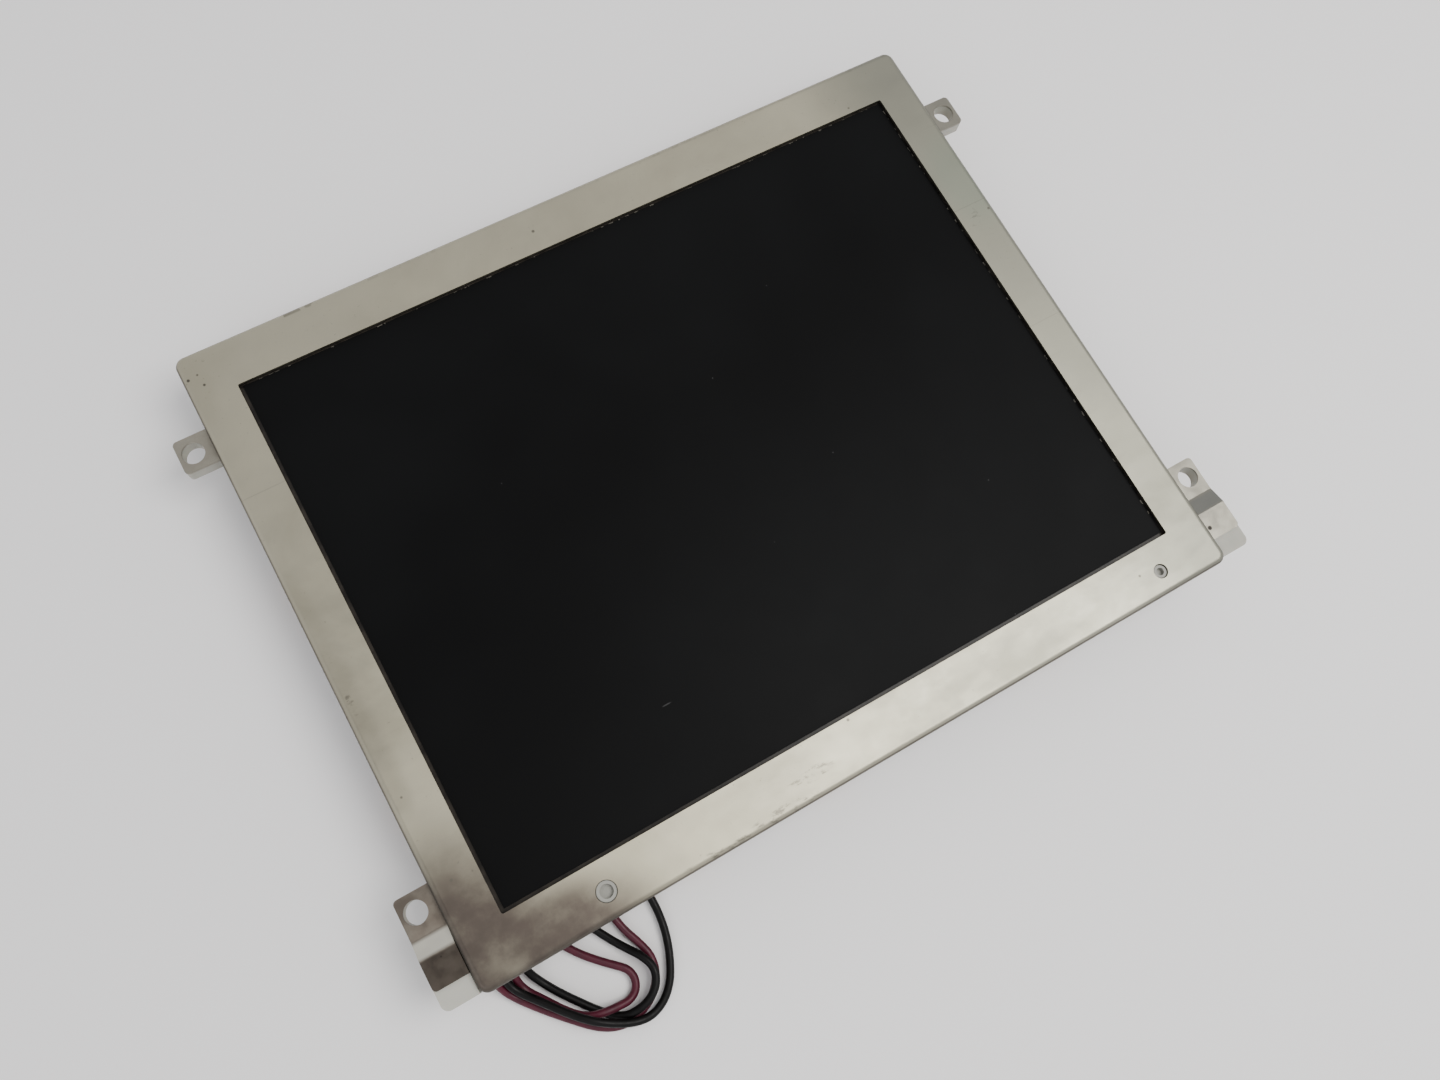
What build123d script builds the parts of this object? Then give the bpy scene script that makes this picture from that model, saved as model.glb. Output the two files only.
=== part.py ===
from build123d import *

import math
import os

# Flat colour display module with a two-lamp backlight, lying on its back.
# Millimetres. X runs along the long edge, Y across it away from the lamp leads, Z out of the screen.
# The origin is the middle of the module's footprint, at the level that its rear can stands on.

# ---- driving dimensions -------------------------------------------------------------------------
module_height = 13.0          # rear can's floor to the bezel's face
bezel_length = 132.4          # outside, along X
bezel_width = 106.1           # outside, along Y
bezel_sheet = 0.5
bezel_depth = 6.6             # face to the lower edge of the side walls
bezel_edge_radius = 1.0       # outside bend between face and side wall
bezel_corner_radius = 1.6     # outside, seen from the front

window_length = 118.2
window_width = 89.5
window_x = 0.15               # window centre, off the module's centre
window_y = 0.1

ear_reach = 5.5               # bezel's side to the ear's tip
ear_hole_to_tip = 2.3
ear_pitch_y = 77.0
ear_hole = 3.5
ear_width = 5.7               # along Y, centred on the hole
ear_drop = 2.0                # bezel face down to the bare metal of the ear
ear_thickness = 2.2           # plastic below the metal
ear_tip_radius = 0.7
rail_sheet = 0.4
rail_width = 1.7              # the strip that joins the two ears under the bezel
strap_rise = 0.95             # how far the lower strap climbs towards the face
strap_ramp_start = 3.4        # from the lower hole towards the lead edge
strap_ramp_run = 2.85
strap_length = 10.85          # lower hole to the strap's far end
tab_length = 14.0             # lower hole to the far end of the plastic tab
tab_radius = 1.2

tray_side_gap = 0.2           # tray to the bezel's side walls
tray_end_gap = 0.25           # tray to the bezel's long walls
tray_standoff = 0.6           # control board to the tray's underside
chassis_floor = 1.1
chassis_corner_radius = 1.4
cavity_side_wall = 3.3        # beside the lamp and light guide space
cavity_end_wall = 2.0
rim_side_wall = 2.3           # thinner near the rim, where the panel frame's skirt goes
rim_step = 0.95               # how deep that thinner part is

polarizer_sheet = 0.2
glass_sheet = 0.7
panel_gap = 0.3               # front polarizer's face to the bezel sheet's underside
filter_length_margin = 3.4    # filter glass past the window, both sides together
filter_width_margin = 3.1
array_left_ledge = 2.2        # array glass past the filter glass, gate chip side
array_right_ledge = 0.6
array_top_ledge = 3.1         # source film side
array_bottom_ledge = 0.6
polarizer_near_gap = 0.55     # bare glass inside the window at its left and lead edges
polarizer_far_gap = 0.18
gasket_width = 1.0

optical_length_margin = 0.2   # films past the window, both sides together
optical_width_margin = 0.3
diffuser_sheet = 0.2
film_gap = 0.05
optical_air_gap = 0.15        # upper diffuser to the rear polarizer
optical_film_count = 3
guide_side_gap = 1.7
guide_lamp_gap = 1.0          # light guide's edge to the lamp
mirror_sheet = 0.2

lamp_diameter = 2.6
lamp_end_gap = 2.6            # lamp's end to the cavity's side wall
lamp_pin_diameter = 0.8
lamp_pin_length = 0.55
lamp_wall_gap = 2.4           # lamp's axis to the cavity's long wall
wire_hole_wall_gap = 1.3      # the lamp wires come down through the tray here, off the side wall
wire_hole_lamp_offset = 0.3
wire_hole_margin = 0.5        # the wire starts its bend inside the hole
boot_length = 4.5
boot_width = 4.2
boot_height_gap = 0.1         # boot lower than the lamp's mirror
lamp_mirror_sheet = 0.15
lamp_mirror_width = 4.4
lamp_mirror_floor_gap = 0.15
lamp_mirror_boot_gap = 0.2

film_sheet = 0.12             # flexible driver films
source_film_count = 4
source_film_width = 17.0
source_film_pitch = 29.0
source_film_gap = 0.53        # film's outer face to the bezel's outer face, less the sheet
gate_film_width = 4.0
gate_film_x = -55.2
driver_chip_length = 13.0
driver_chip_width = 1.3
driver_chip_height = 0.5

source_board_length = 116.0
source_board_depth = 10.8     # along Y
source_board_inset = 1.0      # from the tray's long side
source_standoff = 0.4         # source board to the tray's underside
control_board_low_x = -30.0
control_board_high_x = 58.0
control_board_low_y = -34.0
control_board_high_y = 36.0
control_board_bottom = 3.0
board_sheet = 1.0
board_corner_radius = 1.0

can_length = 66.0
can_width = 50.0
can_x = 11.0
can_y = 5.0
can_sheet = 0.3
can_corner_radius = 2.0
can_edge_radius = 0.8

screw_shank = 1.9
screw_head = 3.6
screw_head_height = 1.1
running_gap = 0.05            # radial clearance of shafts and screws in their holes

connector_length = 22.0
connector_depth = 5.4
connector_height = 2.2
connector_x = 20.0
lock_thickness = 1.5

trimmer_size = 4.6
trimmer_height = 1.8
trimmer_x = 52.0
trimmer_y = -29.0
rotor_diameter = 3.2
rotor_height = 1.2

lead_diameter = 1.25
grommet_low_x = -66.0
grommet_high_x = -59.4
grommet_low_y = -49.2
grommet_high_y = -44.0
grommet_bottom = 2.4
grommet_key_height = 0.9
grommet_key_length = 2.6      # along X
grommet_margin = 1.2

plug_length = 9.4
plug_width = 8.6
plug_height = 3.2
plug_pitch = 2.7              # between neighbouring ways of the lead connectors
plug_front_y = -46.0
plug_way_width = 1.9
plug_way_height = 1.8
lead_insert = 1.1             # lead past the connector's mouth
contact_width = 1.4
contact_height = 1.3
plug_centres = (-54.2, -43.3)

tape_sheet = 0.1
tape_strip_width = 7.0

# ---- places that follow from them ---------------------------------------------------------------
face_z = module_height
under_bezel_z = face_z - bezel_sheet
ear_span = bezel_length + 2 * ear_reach
ear_pitch_x = ear_span - 2 * ear_hole_to_tip
bezel_low_z = face_z - bezel_depth
ear_metal_z = face_z - ear_drop
ear_plastic_z = ear_metal_z - rail_sheet
ear_bottom_z = ear_plastic_z - ear_thickness
strap_plastic_z = ear_plastic_z + strap_rise
hole_x = ear_pitch_x / 2
hole_y = ear_pitch_y / 2
ear_tip_x = ear_span / 2
bezel_half_x = bezel_length / 2
bezel_half_y = bezel_width / 2
panel_top = under_bezel_z - panel_gap
filter_length = window_length + filter_length_margin
filter_width = window_width + filter_width_margin
optical_length = window_length + optical_length_margin
optical_width = window_width + optical_width_margin
filter_top = panel_top - polarizer_sheet
filter_bottom = filter_top - glass_sheet
array_bottom = filter_bottom - glass_sheet
rear_film_bottom = array_bottom - polarizer_sheet
array_low_x = window_x - filter_length / 2 - array_left_ledge
array_high_x = window_x + filter_length / 2 + array_right_ledge
array_low_y = window_y - filter_width / 2 - array_bottom_ledge
array_high_y = window_y + filter_width / 2 + array_top_ledge
film_out_y = bezel_half_y - bezel_sheet - source_film_gap
chassis_length = bezel_length - 2 * bezel_sheet - 2 * tray_side_gap
chassis_width = bezel_width - 2 * bezel_sheet - 2 * tray_end_gap
chassis_top = array_bottom
chassis_bottom = control_board_bottom + board_sheet + tray_standoff
cavity_length = chassis_length - 2 * cavity_side_wall
cavity_width = chassis_width - 2 * cavity_end_wall
rim_cavity_length = chassis_length - 2 * rim_side_wall
step_height = chassis_top - rim_step
floor_top = chassis_bottom + chassis_floor
guide_bottom = floor_top + mirror_sheet + 2 * film_gap
guide_top = rear_film_bottom - optical_air_gap - optical_film_count * (diffuser_sheet + film_gap)
lamp_length = cavity_length - 2 * lamp_end_gap
lamp_y = cavity_width / 2 - lamp_wall_gap
lamp_z = (guide_bottom + guide_top) / 2
guide_length = cavity_length - 2 * guide_side_gap
guide_width = 2 * (lamp_y - lamp_diameter / 2 - guide_lamp_gap)
lamp_mirror_height = step_height - floor_top - lamp_mirror_floor_gap
lamp_mirror_length = cavity_length - 2 * boot_length - 2 * lamp_mirror_boot_gap
boot_height = lamp_mirror_height - boot_height_gap
wire_hole_x = cavity_length / 2 - wire_hole_wall_gap
wire_hole_y = lamp_y - wire_hole_lamp_offset
source_board_high_y = chassis_width / 2 - source_board_inset
source_board_low_y = source_board_high_y - source_board_depth
source_board_bottom = chassis_bottom - source_standoff - board_sheet
lead_radius = lead_diameter / 2
taped_z = chassis_bottom - lead_radius - 0.02
panel_clearance = 0.2
rail_outer_x = chassis_length / 2 - 0.1
outboard_x = bezel_half_x + 0.12          # pieces beside the bezel's wall start here
tab_root_y = -chassis_width / 2 + chassis_corner_radius


def block(low, high):
    """A box between two corners."""
    size = [b - a for a, b in zip(low, high)]
    middle = [(a + b) / 2 for a, b in zip(low, high)]
    return Pos(*middle) * Box(*size)


def plate(length, width, low_z, high_z, radius=0.0, x=0.0, y=0.0):
    """A flat plate centred on x, y with rounded corners."""
    solid = Pos(x, y, (low_z + high_z) / 2) * Box(length, width, high_z - low_z)
    return fillet(solid.edges().filter_by(Axis.Z), radius) if radius else solid


def column(x, y, low_z, high_z, diameter):
    """An upright round pin."""
    return Pos(x, y, (low_z + high_z) / 2) * Cylinder(diameter / 2, high_z - low_z)


def along_x(points_yz, low_x, high_x):
    """A prism along X whose section is given as (y, z) corners."""
    face = Plane.YZ * make_face(Polyline(*points_yz, close=True))
    return Pos(low_x, 0, 0) * extrude(face, high_x - low_x, dir=(1, 0, 0))


def mirrored(solid):
    """The same piece on the other side of the YZ plane."""
    return mirror(solid, about=Plane.YZ)


def tube(points, diameter=lead_diameter):
    """A round wire along straight runs that are joined by tangent arcs as large as the runs allow."""
    spots = [Vector(*p) for p in points]
    radii = []
    for before, here, after in zip(spots, spots[1:], spots[2:]):
        turn = math.radians((here - before).get_angle(after - here))
        shorter = min((here - before).length, (after - here).length)
        radii.append(min(0.45 * shorter / math.tan(turn / 2), 60.0))
    path = FilletPolyline(*spots, radius=radii) if radii else Line(*spots)
    start = Plane(origin=spots[0], z_dir=(spots[1] - spots[0]).normalized())
    return sweep(start * Circle(diameter / 2), path=path), path, radii


# ---- bezel and ears -----------------------------------------------------------------------------
bezel_boss = (                # x, y, hole in the bezel, boss in the hole, dimple in the boss
    (-44.85, -49.1, 3.2, 3.0, 2.05),
    (54.7, -49.4, 2.4, 2.1, 1.25),
)
snap_height = 1.3
snap_z = 8.0
snap_places_x = (-29.0, 0.0, 29.0)
snap_places_y = (-18.0, 18.0)
snap_length = 4.0
snap_reach = 0.45             # nub past the chassis wall
snap_gap = 0.2


def snap_blocks(reach, grow):
    """The snap nubs round the tray, or the slots that they catch in."""
    half = snap_length / 2 + grow
    low, high = snap_z - snap_height / 2 - grow, snap_z + snap_height / 2 + grow
    blocks = []
    for side in (-1, 1):
        for x in snap_places_x:
            inner, outer = chassis_width / 2 - 0.3, chassis_width / 2 + reach
            blocks.append(block((x - half, min(side * inner, side * outer), low),
                                (x + half, max(side * inner, side * outer), high)))
        for y in snap_places_y:
            inner, outer = chassis_length / 2 - 0.3, chassis_length / 2 + reach
            blocks.append(block((min(side * inner, side * outer), y - half, low),
                                (max(side * inner, side * outer), y + half, high)))
    return blocks


notch_gap = 0.1
ear_notches = (               # low y, high y and top of what passes through each bezel side wall
    (hole_y - ear_width / 2, hole_y + ear_width / 2, ear_metal_z),
    (-hole_y - strap_ramp_start, -hole_y + ear_width / 2, ear_metal_z),
    (tab_root_y, -hole_y - strap_ramp_start, ear_plastic_z),
)


def front_bezel():
    outside = plate(bezel_length, bezel_width, bezel_low_z, face_z, bezel_corner_radius)
    outside = fillet(outside.faces().sort_by(Axis.Z)[-1].edges(), bezel_edge_radius)
    inside = plate(bezel_length - 2 * bezel_sheet, bezel_width - 2 * bezel_sheet,
                   bezel_low_z - 1, under_bezel_z, bezel_corner_radius - bezel_sheet)
    inside = fillet(inside.faces().sort_by(Axis.Z)[-1].edges(), bezel_edge_radius - bezel_sheet)
    shell = outside - inside
    shell -= plate(window_length, window_width, under_bezel_z - 1, face_z + 1, 0.3, window_x, window_y)
    for x, y, hole, _, _ in bezel_boss:
        shell -= column(x, y, under_bezel_z - 1, face_z + 1, hole)
    for side in (-1, 1):
        low_x, high_x = sorted((side * (bezel_half_x - 1.2), side * (bezel_half_x + 1)))
        for low_y, high_y, high_z in ear_notches:
            shell -= block((low_x, low_y - notch_gap, 0), (high_x, high_y + notch_gap, high_z + notch_gap))
    for slot in snap_blocks(5.0, snap_gap):
        shell -= slot
    return shell


def strap_profile(thickness):
    """Section of the lower strap: level at the ear, a ramp, then a raised level stretch."""
    start = -hole_y + ear_width / 2
    ramp = -hole_y - strap_ramp_start
    top = ramp - strap_ramp_run
    end = -hole_y - strap_length
    below = [(start, ear_plastic_z), (ramp, ear_plastic_z), (top, strap_plastic_z), (end, strap_plastic_z)]
    slope = thickness * 0.3 * strap_rise / strap_ramp_run
    above = [(end, strap_plastic_z + thickness), (top + slope, strap_plastic_z + thickness),
             (ramp + slope, ear_plastic_z + thickness), (start, ear_plastic_z + thickness)]
    return below + above


def ear_rail():
    """The right-hand rail: a strip under the bezel with a small upper ear and the long lower strap."""
    inner_x = rail_outer_x - rail_width
    strip = block((inner_x, -hole_y - strap_ramp_start, ear_plastic_z),
                  (rail_outer_x, hole_y + ear_width / 2, ear_metal_z))
    upper = block((inner_x, hole_y - ear_width / 2, ear_plastic_z),
                  (ear_tip_x, hole_y + ear_width / 2, ear_metal_z))
    upper = fillet(upper.edges().filter_by(Axis.Z).group_by(Axis.X)[-1], ear_tip_radius)
    root = block((inner_x, -hole_y - strap_ramp_start, ear_plastic_z),
                 (outboard_x + 0.1, -hole_y + ear_width / 2, ear_metal_z))
    lower = along_x(strap_profile(rail_sheet), outboard_x, ear_tip_x)
    far_corners = lower.edges().filter_by(Axis.Z).group_by(Axis.X)[-1]
    lower = fillet(far_corners, ear_tip_radius)
    rail = strip + upper + root + lower
    for y in (-hole_y, hole_y):
        rail -= column(hole_x, y, ear_plastic_z - 1, ear_metal_z + 1, ear_hole)
    return rail


def ear_plastic():
    """The right-hand ears of the tray, and the corner tab beyond the lower strap."""
    inner_x = chassis_length / 2 - 2
    upper = block((inner_x, hole_y - ear_width / 2, ear_bottom_z),
                  (ear_tip_x, hole_y + ear_width / 2, ear_plastic_z))
    upper = fillet(upper.edges().filter_by(Axis.Z).group_by(Axis.X)[-1], ear_tip_radius)
    profile = [(-hole_y + ear_width / 2, ear_bottom_z), (-hole_y + ear_width / 2, ear_plastic_z),
               (-hole_y - strap_ramp_start, ear_plastic_z),
               (-hole_y - strap_ramp_start - strap_ramp_run, strap_plastic_z),
               (-hole_y - tab_length, strap_plastic_z), (-hole_y - tab_length, ear_bottom_z)]
    lower = along_x(profile, inner_x, ear_tip_x)
    lower -= block((inner_x - 1, -hole_y - tab_length - 1, ear_plastic_z), (outboard_x, 0, face_z))
    lower -= block((inner_x - 1, -hole_y - tab_length - 1, 0), (outboard_x, tab_root_y, face_z))
    corners = lower.edges().filter_by(Axis.Z).group_by(Axis.X)[-1].sort_by(Axis.Y)
    lower = fillet(corners[0], tab_radius)
    lower = fillet(lower.edges().filter_by(Axis.Z).group_by(Axis.X)[-1].sort_by(Axis.Y)[-1], ear_tip_radius)
    ears = upper + lower
    for y in (-hole_y, hole_y):
        ears -= column(hole_x, y, ear_bottom_z - 1, face_z, ear_hole)
    return ears


# ---- backlight ----------------------------------------------------------------------------------
screw_places = (
    (control_board_low_x + 3.5, control_board_low_y + 3.5),
    (control_board_high_x - 3.5, control_board_low_y + 10.5),
    (control_board_low_x + 3.5, control_board_high_y - 3.5),
    (control_board_high_x - 3.5, control_board_high_y - 3.5),
)
source_screw_y = source_board_low_y + 2.7
source_screw_x = source_board_length / 2 - 3.0
source_screw_places = ((-source_screw_x, source_screw_y), (source_screw_x, source_screw_y))


def source_film_places():
    """Middle of each wide driver film along X."""
    first = -(source_film_count - 1) / 2 * source_film_pitch
    return [first + i * source_film_pitch for i in range(source_film_count)]


def film_recesses(low_z, high_z, low_y, grow=0.7):
    """Room for the driver films on the source side of a frame."""
    widths = [(x, source_film_width) for x in source_film_places()] + [(gate_film_x, gate_film_width)]
    return [block((x - w / 2 - grow, low_y, low_z), (x + w / 2 + grow, bezel_half_y + 1, high_z))
            for x, w in widths]


def backlight_chassis():
    tray = plate(chassis_length, chassis_width, chassis_bottom, chassis_top, chassis_corner_radius)
    tray -= plate(cavity_length, cavity_width, floor_top, chassis_top + 1)
    tray -= plate(rim_cavity_length, cavity_width, step_height, chassis_top + 1)
    for recess in film_recesses(0, chassis_top + 1, chassis_width / 2 - 1.1):
        tray -= recess
    for nub in snap_blocks(snap_reach, 0.0):
        tray += nub
    for x, y in screw_places:
        tray += column(x, y, control_board_bottom + board_sheet, chassis_bottom, 5.0)
    for x, y in source_screw_places:
        tray += column(x, y, source_board_bottom + board_sheet, chassis_bottom, 5.0)
    tray += ear_plastic() + mirrored(ear_plastic())
    for x, y in screw_places + source_screw_places:
        tray -= column(x, y, 0, floor_top - 0.2, screw_shank + 2 * running_gap)
    for x in (-wire_hole_x, wire_hole_x):
        for y in (-wire_hole_y, wire_hole_y):
            tray -= column(x, y, chassis_bottom - 1, floor_top + 1, lead_diameter + 2 * wire_hole_margin)
    tray -= grommet_key(0.05)
    return tray


def panel_frame():
    """Seat of the glass: a ring on the tray's rim, with a skirt that drops inside it."""
    ring_length = chassis_length - 0.4
    high_y = chassis_width / 2 - 1.1
    low_y = -chassis_width / 2 + 0.1
    top = under_bezel_z - 0.3
    frame = block((-ring_length / 2, low_y, chassis_top), (ring_length / 2, high_y, top))
    frame = fillet(frame.edges().filter_by(Axis.Z), chassis_corner_radius)
    skirt = plate(rim_cavity_length - 0.2, cavity_width - 0.2, step_height, chassis_top)
    frame += skirt
    opening = plate(optical_length + 0.4, optical_width + 0.4, 0, face_z, 0, window_x, window_y)
    frame -= opening
    frame -= block((array_low_x - panel_clearance, array_low_y - panel_clearance, array_bottom),
                   (array_high_x + panel_clearance, array_high_y + panel_clearance, face_z))
    for recess in film_recesses(filter_bottom - 0.1, face_z, array_high_y - 1):
        frame -= recess
    for side in (-1, 1):
        low_x, high_x = sorted((side * (rail_outer_x - rail_width - 0.05), side * (bezel_half_x + 1)))
        frame -= block((low_x, -hole_y - strap_ramp_start - 0.1, 0),
                       (high_x, hole_y + ear_width / 2 + 0.1, ear_metal_z + 0.02))
    for x, y, _, boss, dimple in bezel_boss:
        frame += column(x, y, top - 0.5, face_z - 0.25, boss)
        frame -= column(x, y, face_z - 1.0, face_z, dimple)
    return frame


def lamp_mirror(side):
    """Bright sheet folded round a lamp, open towards the light guide."""
    y = side * (guide_width / 2 + 0.1 + lamp_mirror_width / 2)
    low, high = lamp_z - lamp_mirror_height / 2, lamp_z + lamp_mirror_height / 2
    solid = plate(lamp_mirror_length, lamp_mirror_width, low, high, 0, 0, y)
    hollow_y = y - side * lamp_mirror_sheet
    return solid - plate(lamp_mirror_length + 2, lamp_mirror_width, low + lamp_mirror_sheet,
                         high - lamp_mirror_sheet, 0, 0, hollow_y)


def lamp_tube(side):
    """One cold-cathode lamp with its end pins."""
    lamp = Rot(0, 90, 0) * Cylinder(lamp_diameter / 2, lamp_length)
    lamp = fillet(lamp.edges().filter_by(GeomType.CIRCLE), 0.6)
    lamp += Rot(0, 90, 0) * Cylinder(lamp_pin_diameter / 2, lamp_length + 2 * lamp_pin_length)
    return Pos(0, side * lamp_y, lamp_z) * lamp


def lamp_boot(side_x, side_y):
    """Soft end holder of a lamp, where its wire is joined on."""
    x = side_x * (cavity_length / 2 - 0.05 - boot_length / 2)
    boot = Pos(x, side_y * lamp_y, lamp_z) * Box(boot_length, boot_width, boot_height)
    boot = fillet(boot.edges().filter_by(Axis.X), 0.5)
    inner_x = side_x * (cavity_length / 2 - boot_length - 1)
    pin_end = side_x * (lamp_length / 2 + 0.05)
    boot -= Pos((inner_x + pin_end) / 2, side_y * lamp_y, lamp_z) * Rot(0, 90, 0) * Cylinder(
        lamp_diameter / 2 + running_gap, abs(pin_end - inner_x))
    wire_x = side_x * wire_hole_x
    boot -= Pos((inner_x + wire_x) / 2, side_y * lamp_y, lamp_z) * Rot(0, 90, 0) * Cylinder(
        lamp_pin_diameter / 2 + running_gap, abs(wire_x - inner_x))
    boot -= column(wire_x, side_y * wire_hole_y, 0, lamp_z, lead_diameter + 2 * running_gap)
    return boot


# ---- driver films, boards and what stands on them ------------------------------------------------
def wrapped_film(width, x, start_y):
    """A flexible film from the glass ledge, round the tray's side, onto the source board's rear face."""
    t = film_sheet
    inner_y, low = film_out_y - t, source_board_bottom - t
    end_y = source_board_high_y - 3.0
    profile = [(start_y, filter_bottom), (start_y, filter_bottom + t),
               (film_out_y - 0.5, filter_bottom + t),
               (film_out_y, filter_bottom - 0.4), (film_out_y, low + 0.4), (film_out_y - 0.4, low),
               (end_y, low), (end_y, low + t), (inner_y - 0.35, low + t), (inner_y, low + t + 0.35),
               (inner_y, filter_bottom - 0.45), (film_out_y - 0.55, filter_bottom)]
    return along_x(profile, x - width / 2, x + width / 2)


def source_board():
    board = block((-source_board_length / 2, source_board_low_y, source_board_bottom),
                  (source_board_length / 2, source_board_high_y, source_board_bottom + board_sheet))
    board = fillet(board.edges().filter_by(Axis.Z), board_corner_radius)
    for x, y in source_screw_places:
        board -= column(x, y, 0, 10, screw_shank + 0.4)
    return board


def control_board():
    board = block((control_board_low_x, control_board_low_y, control_board_bottom),
                  (control_board_high_x, control_board_high_y, control_board_bottom + board_sheet))
    board = fillet(board.edges().filter_by(Axis.Z), board_corner_radius)
    for x, y in screw_places:
        board -= column(x, y, 0, 10, screw_shank + 0.4)
    return board


def board_flex():
    """Flat film that bridges the two boards, with both ends on their rear faces."""
    t = film_sheet
    low_a, low_b = control_board_bottom - t, source_board_bottom - t
    near, far = control_board_high_y - 3.5, source_board_low_y + 3.5
    profile = [(near, low_a), (near, low_a + t), (control_board_high_y + 0.5, low_a + t),
               (source_board_low_y - 0.5, low_b + t), (far, low_b + t), (far, low_b),
               (source_board_low_y - 0.5, low_b), (control_board_high_y + 0.5, low_a)]
    return along_x(profile, -14.0, 8.0)


def shield_can():
    can = plate(can_length, can_width, 0, control_board_bottom, can_corner_radius, can_x, can_y)
    can = fillet(can.faces().sort_by(Axis.Z)[0].edges(), can_edge_radius)
    hollow = plate(can_length - 2 * can_sheet, can_width - 2 * can_sheet, can_sheet,
                   control_board_bottom + 1,
                   can_corner_radius - can_sheet, can_x, can_y)
    can -= fillet(hollow.faces().sort_by(Axis.Z)[0].edges(), can_edge_radius - can_sheet)
    for i in range(5):
        for j in range(2):
            can -= column(can_x - 24 + 6 * i, can_y + 14 + 5 * j, -1, 1, 2.0)
    return can


def chip(x, y, length, width, height, lead_reach, leads_on_y):
    """A moulded chip under a board, with thin lead rows along two sides."""
    top = control_board_bottom
    body = block((x - length / 2, y - width / 2, top - height), (x + length / 2, y + width / 2, top - 0.12))
    body = chamfer(body.faces().sort_by(Axis.Z)[0].edges(), 0.2)
    reach_x, reach_y = (0.0, lead_reach) if leads_on_y else (lead_reach, 0.0)
    feet = block((x - length / 2 - reach_x + 0.3, y - width / 2 - reach_y + 0.3, top - 0.24),
                 (x + length / 2 + reach_x - 0.3, y + width / 2 + reach_y - 0.3, top))
    return body + feet


def timing_controller():
    return chip(8.0, 0.0, 20.0, 20.0, 1.7, 1.4, True)


def interface_chips():
    places = [(-26.0, -14.0), (-26.0, 2.0), (51.0, 10.0)]
    return [chip(x, y, 4.4, 9.6, 1.6, 1.2, False) for x, y in places]


def small_parts(places, length, width, height, z):
    """Chip parts on a board's rear face."""
    return [block((x - length / 2, y - width / 2, z - height), (x + length / 2, y + width / 2, z))
            for x, y in places]


def board_capacitors():
    places = [(-26.0, 12.0), (-26.0, 16.0), (-26.0, 20.0), (49.0, 22.0), (49.0, 26.0), (53.5, 18.0)]
    solids = small_parts(places, 6.0, 3.0, 2.2, control_board_bottom)
    return [fillet(s.edges().filter_by(Axis.Y), 0.25) for s in solids]


def board_resistors():
    places = [(-18.0 + 3.0 * i, -30.0) for i in range(7)] + [(-18.0 + 3.0 * i, -26.5) for i in range(7)]
    places += [(34.0 + 3.0 * i, -26.0) for i in range(5)] + [(55.2, y) for y in (-8.0, -5.0, -2.0)]
    return small_parts(places, 2.0, 1.25, 0.6, control_board_bottom)


def board_inductors():
    solids = []
    for x, y in ((38.5, -31.0), (44.5, -31.0)):
        core = column(x, y, control_board_bottom - 2.1, control_board_bottom, 4.6)
        groove = column(x, y, control_board_bottom - 1.6, control_board_bottom - 0.5, 6.0)
        groove -= column(x, y, 0, 10, 3.4)
        solids.append(core - groove)
    return solids


def source_board_capacitors():
    columns = [-50.0 + 12.5 * i for i in range(9)]
    places = [(x, source_board_low_y + 2.2) for x in columns if abs(x + 3) > 12]
    return small_parts(places, 3.2, 1.6, 1.2, source_board_bottom)


def input_connector():
    """Low flat-cable socket at the board's edge, with its mouth towards the lead side."""
    top, low_y = control_board_bottom, control_board_low_y
    half = connector_length / 2
    body = block((connector_x - half, low_y, top - connector_height),
                 (connector_x + half, low_y + connector_depth, top))
    mouth = block((connector_x - half + 1.0, low_y - 1, top - connector_height + 0.35),
                  (connector_x + half - 1.0, low_y + connector_depth - 1.2, top - 0.35))
    body -= mouth
    for side in (-1, 1):
        low_x, high_x = sorted((connector_x + side * (half - 0.5), connector_x + side * (half + 1)))
        body -= block((low_x, low_y - 1, top - connector_height - 1), (high_x, low_y + 2.8, top - 0.5))
    return body


def connector_lock():
    """Sliding lock of the socket: a bar with two side arms and a wedge that enters the mouth."""
    top, low_y = control_board_bottom, control_board_low_y
    half = connector_length / 2
    low_z = top - connector_height
    bar = block((connector_x - half, low_y - 1.5, low_z),
                (connector_x + half, low_y - 0.05, low_z + lock_thickness))
    bar = fillet(bar.edges().filter_by(Axis.X).group_by(Axis.Y)[0], 0.3)
    wedge = block((connector_x - half + 1.3, low_y - 0.5, low_z + 0.4),
                  (connector_x + half - 1.3, low_y + 2.6, low_z + 0.9))
    lock = bar + wedge
    for side in (-1, 1):
        low_x, high_x = sorted((connector_x + side * (half - 0.45), connector_x + side * half))
        lock += block((low_x, low_y - 0.5, low_z + 0.05),
                      (high_x, low_y + 1.6, low_z + lock_thickness - 0.1))
    return lock


def trimmer_body():
    low = control_board_bottom - trimmer_height
    body = block((trimmer_x - trimmer_size / 2, trimmer_y - trimmer_size / 2, low),
                 (trimmer_x + trimmer_size / 2, trimmer_y + trimmer_size / 2, control_board_bottom))
    body = chamfer(body.edges().filter_by(Axis.Z), 0.5)
    return body - column(trimmer_x, trimmer_y, low - 1, low + 0.9, rotor_diameter + 2 * running_gap)


def trimmer_rotor():
    top = control_board_bottom - trimmer_height + 0.85
    low = top - rotor_height
    rotor = column(trimmer_x, trimmer_y, low, top, rotor_diameter)
    rotor = chamfer(rotor.edges().filter_by(GeomType.CIRCLE).sort_by(Axis.Z)[0], 0.15)
    slot = Box(2.3, 0.5, 0.8) + Box(0.5, 2.3, 0.8)
    return rotor - Pos(trimmer_x, trimmer_y, low) * slot


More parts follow.
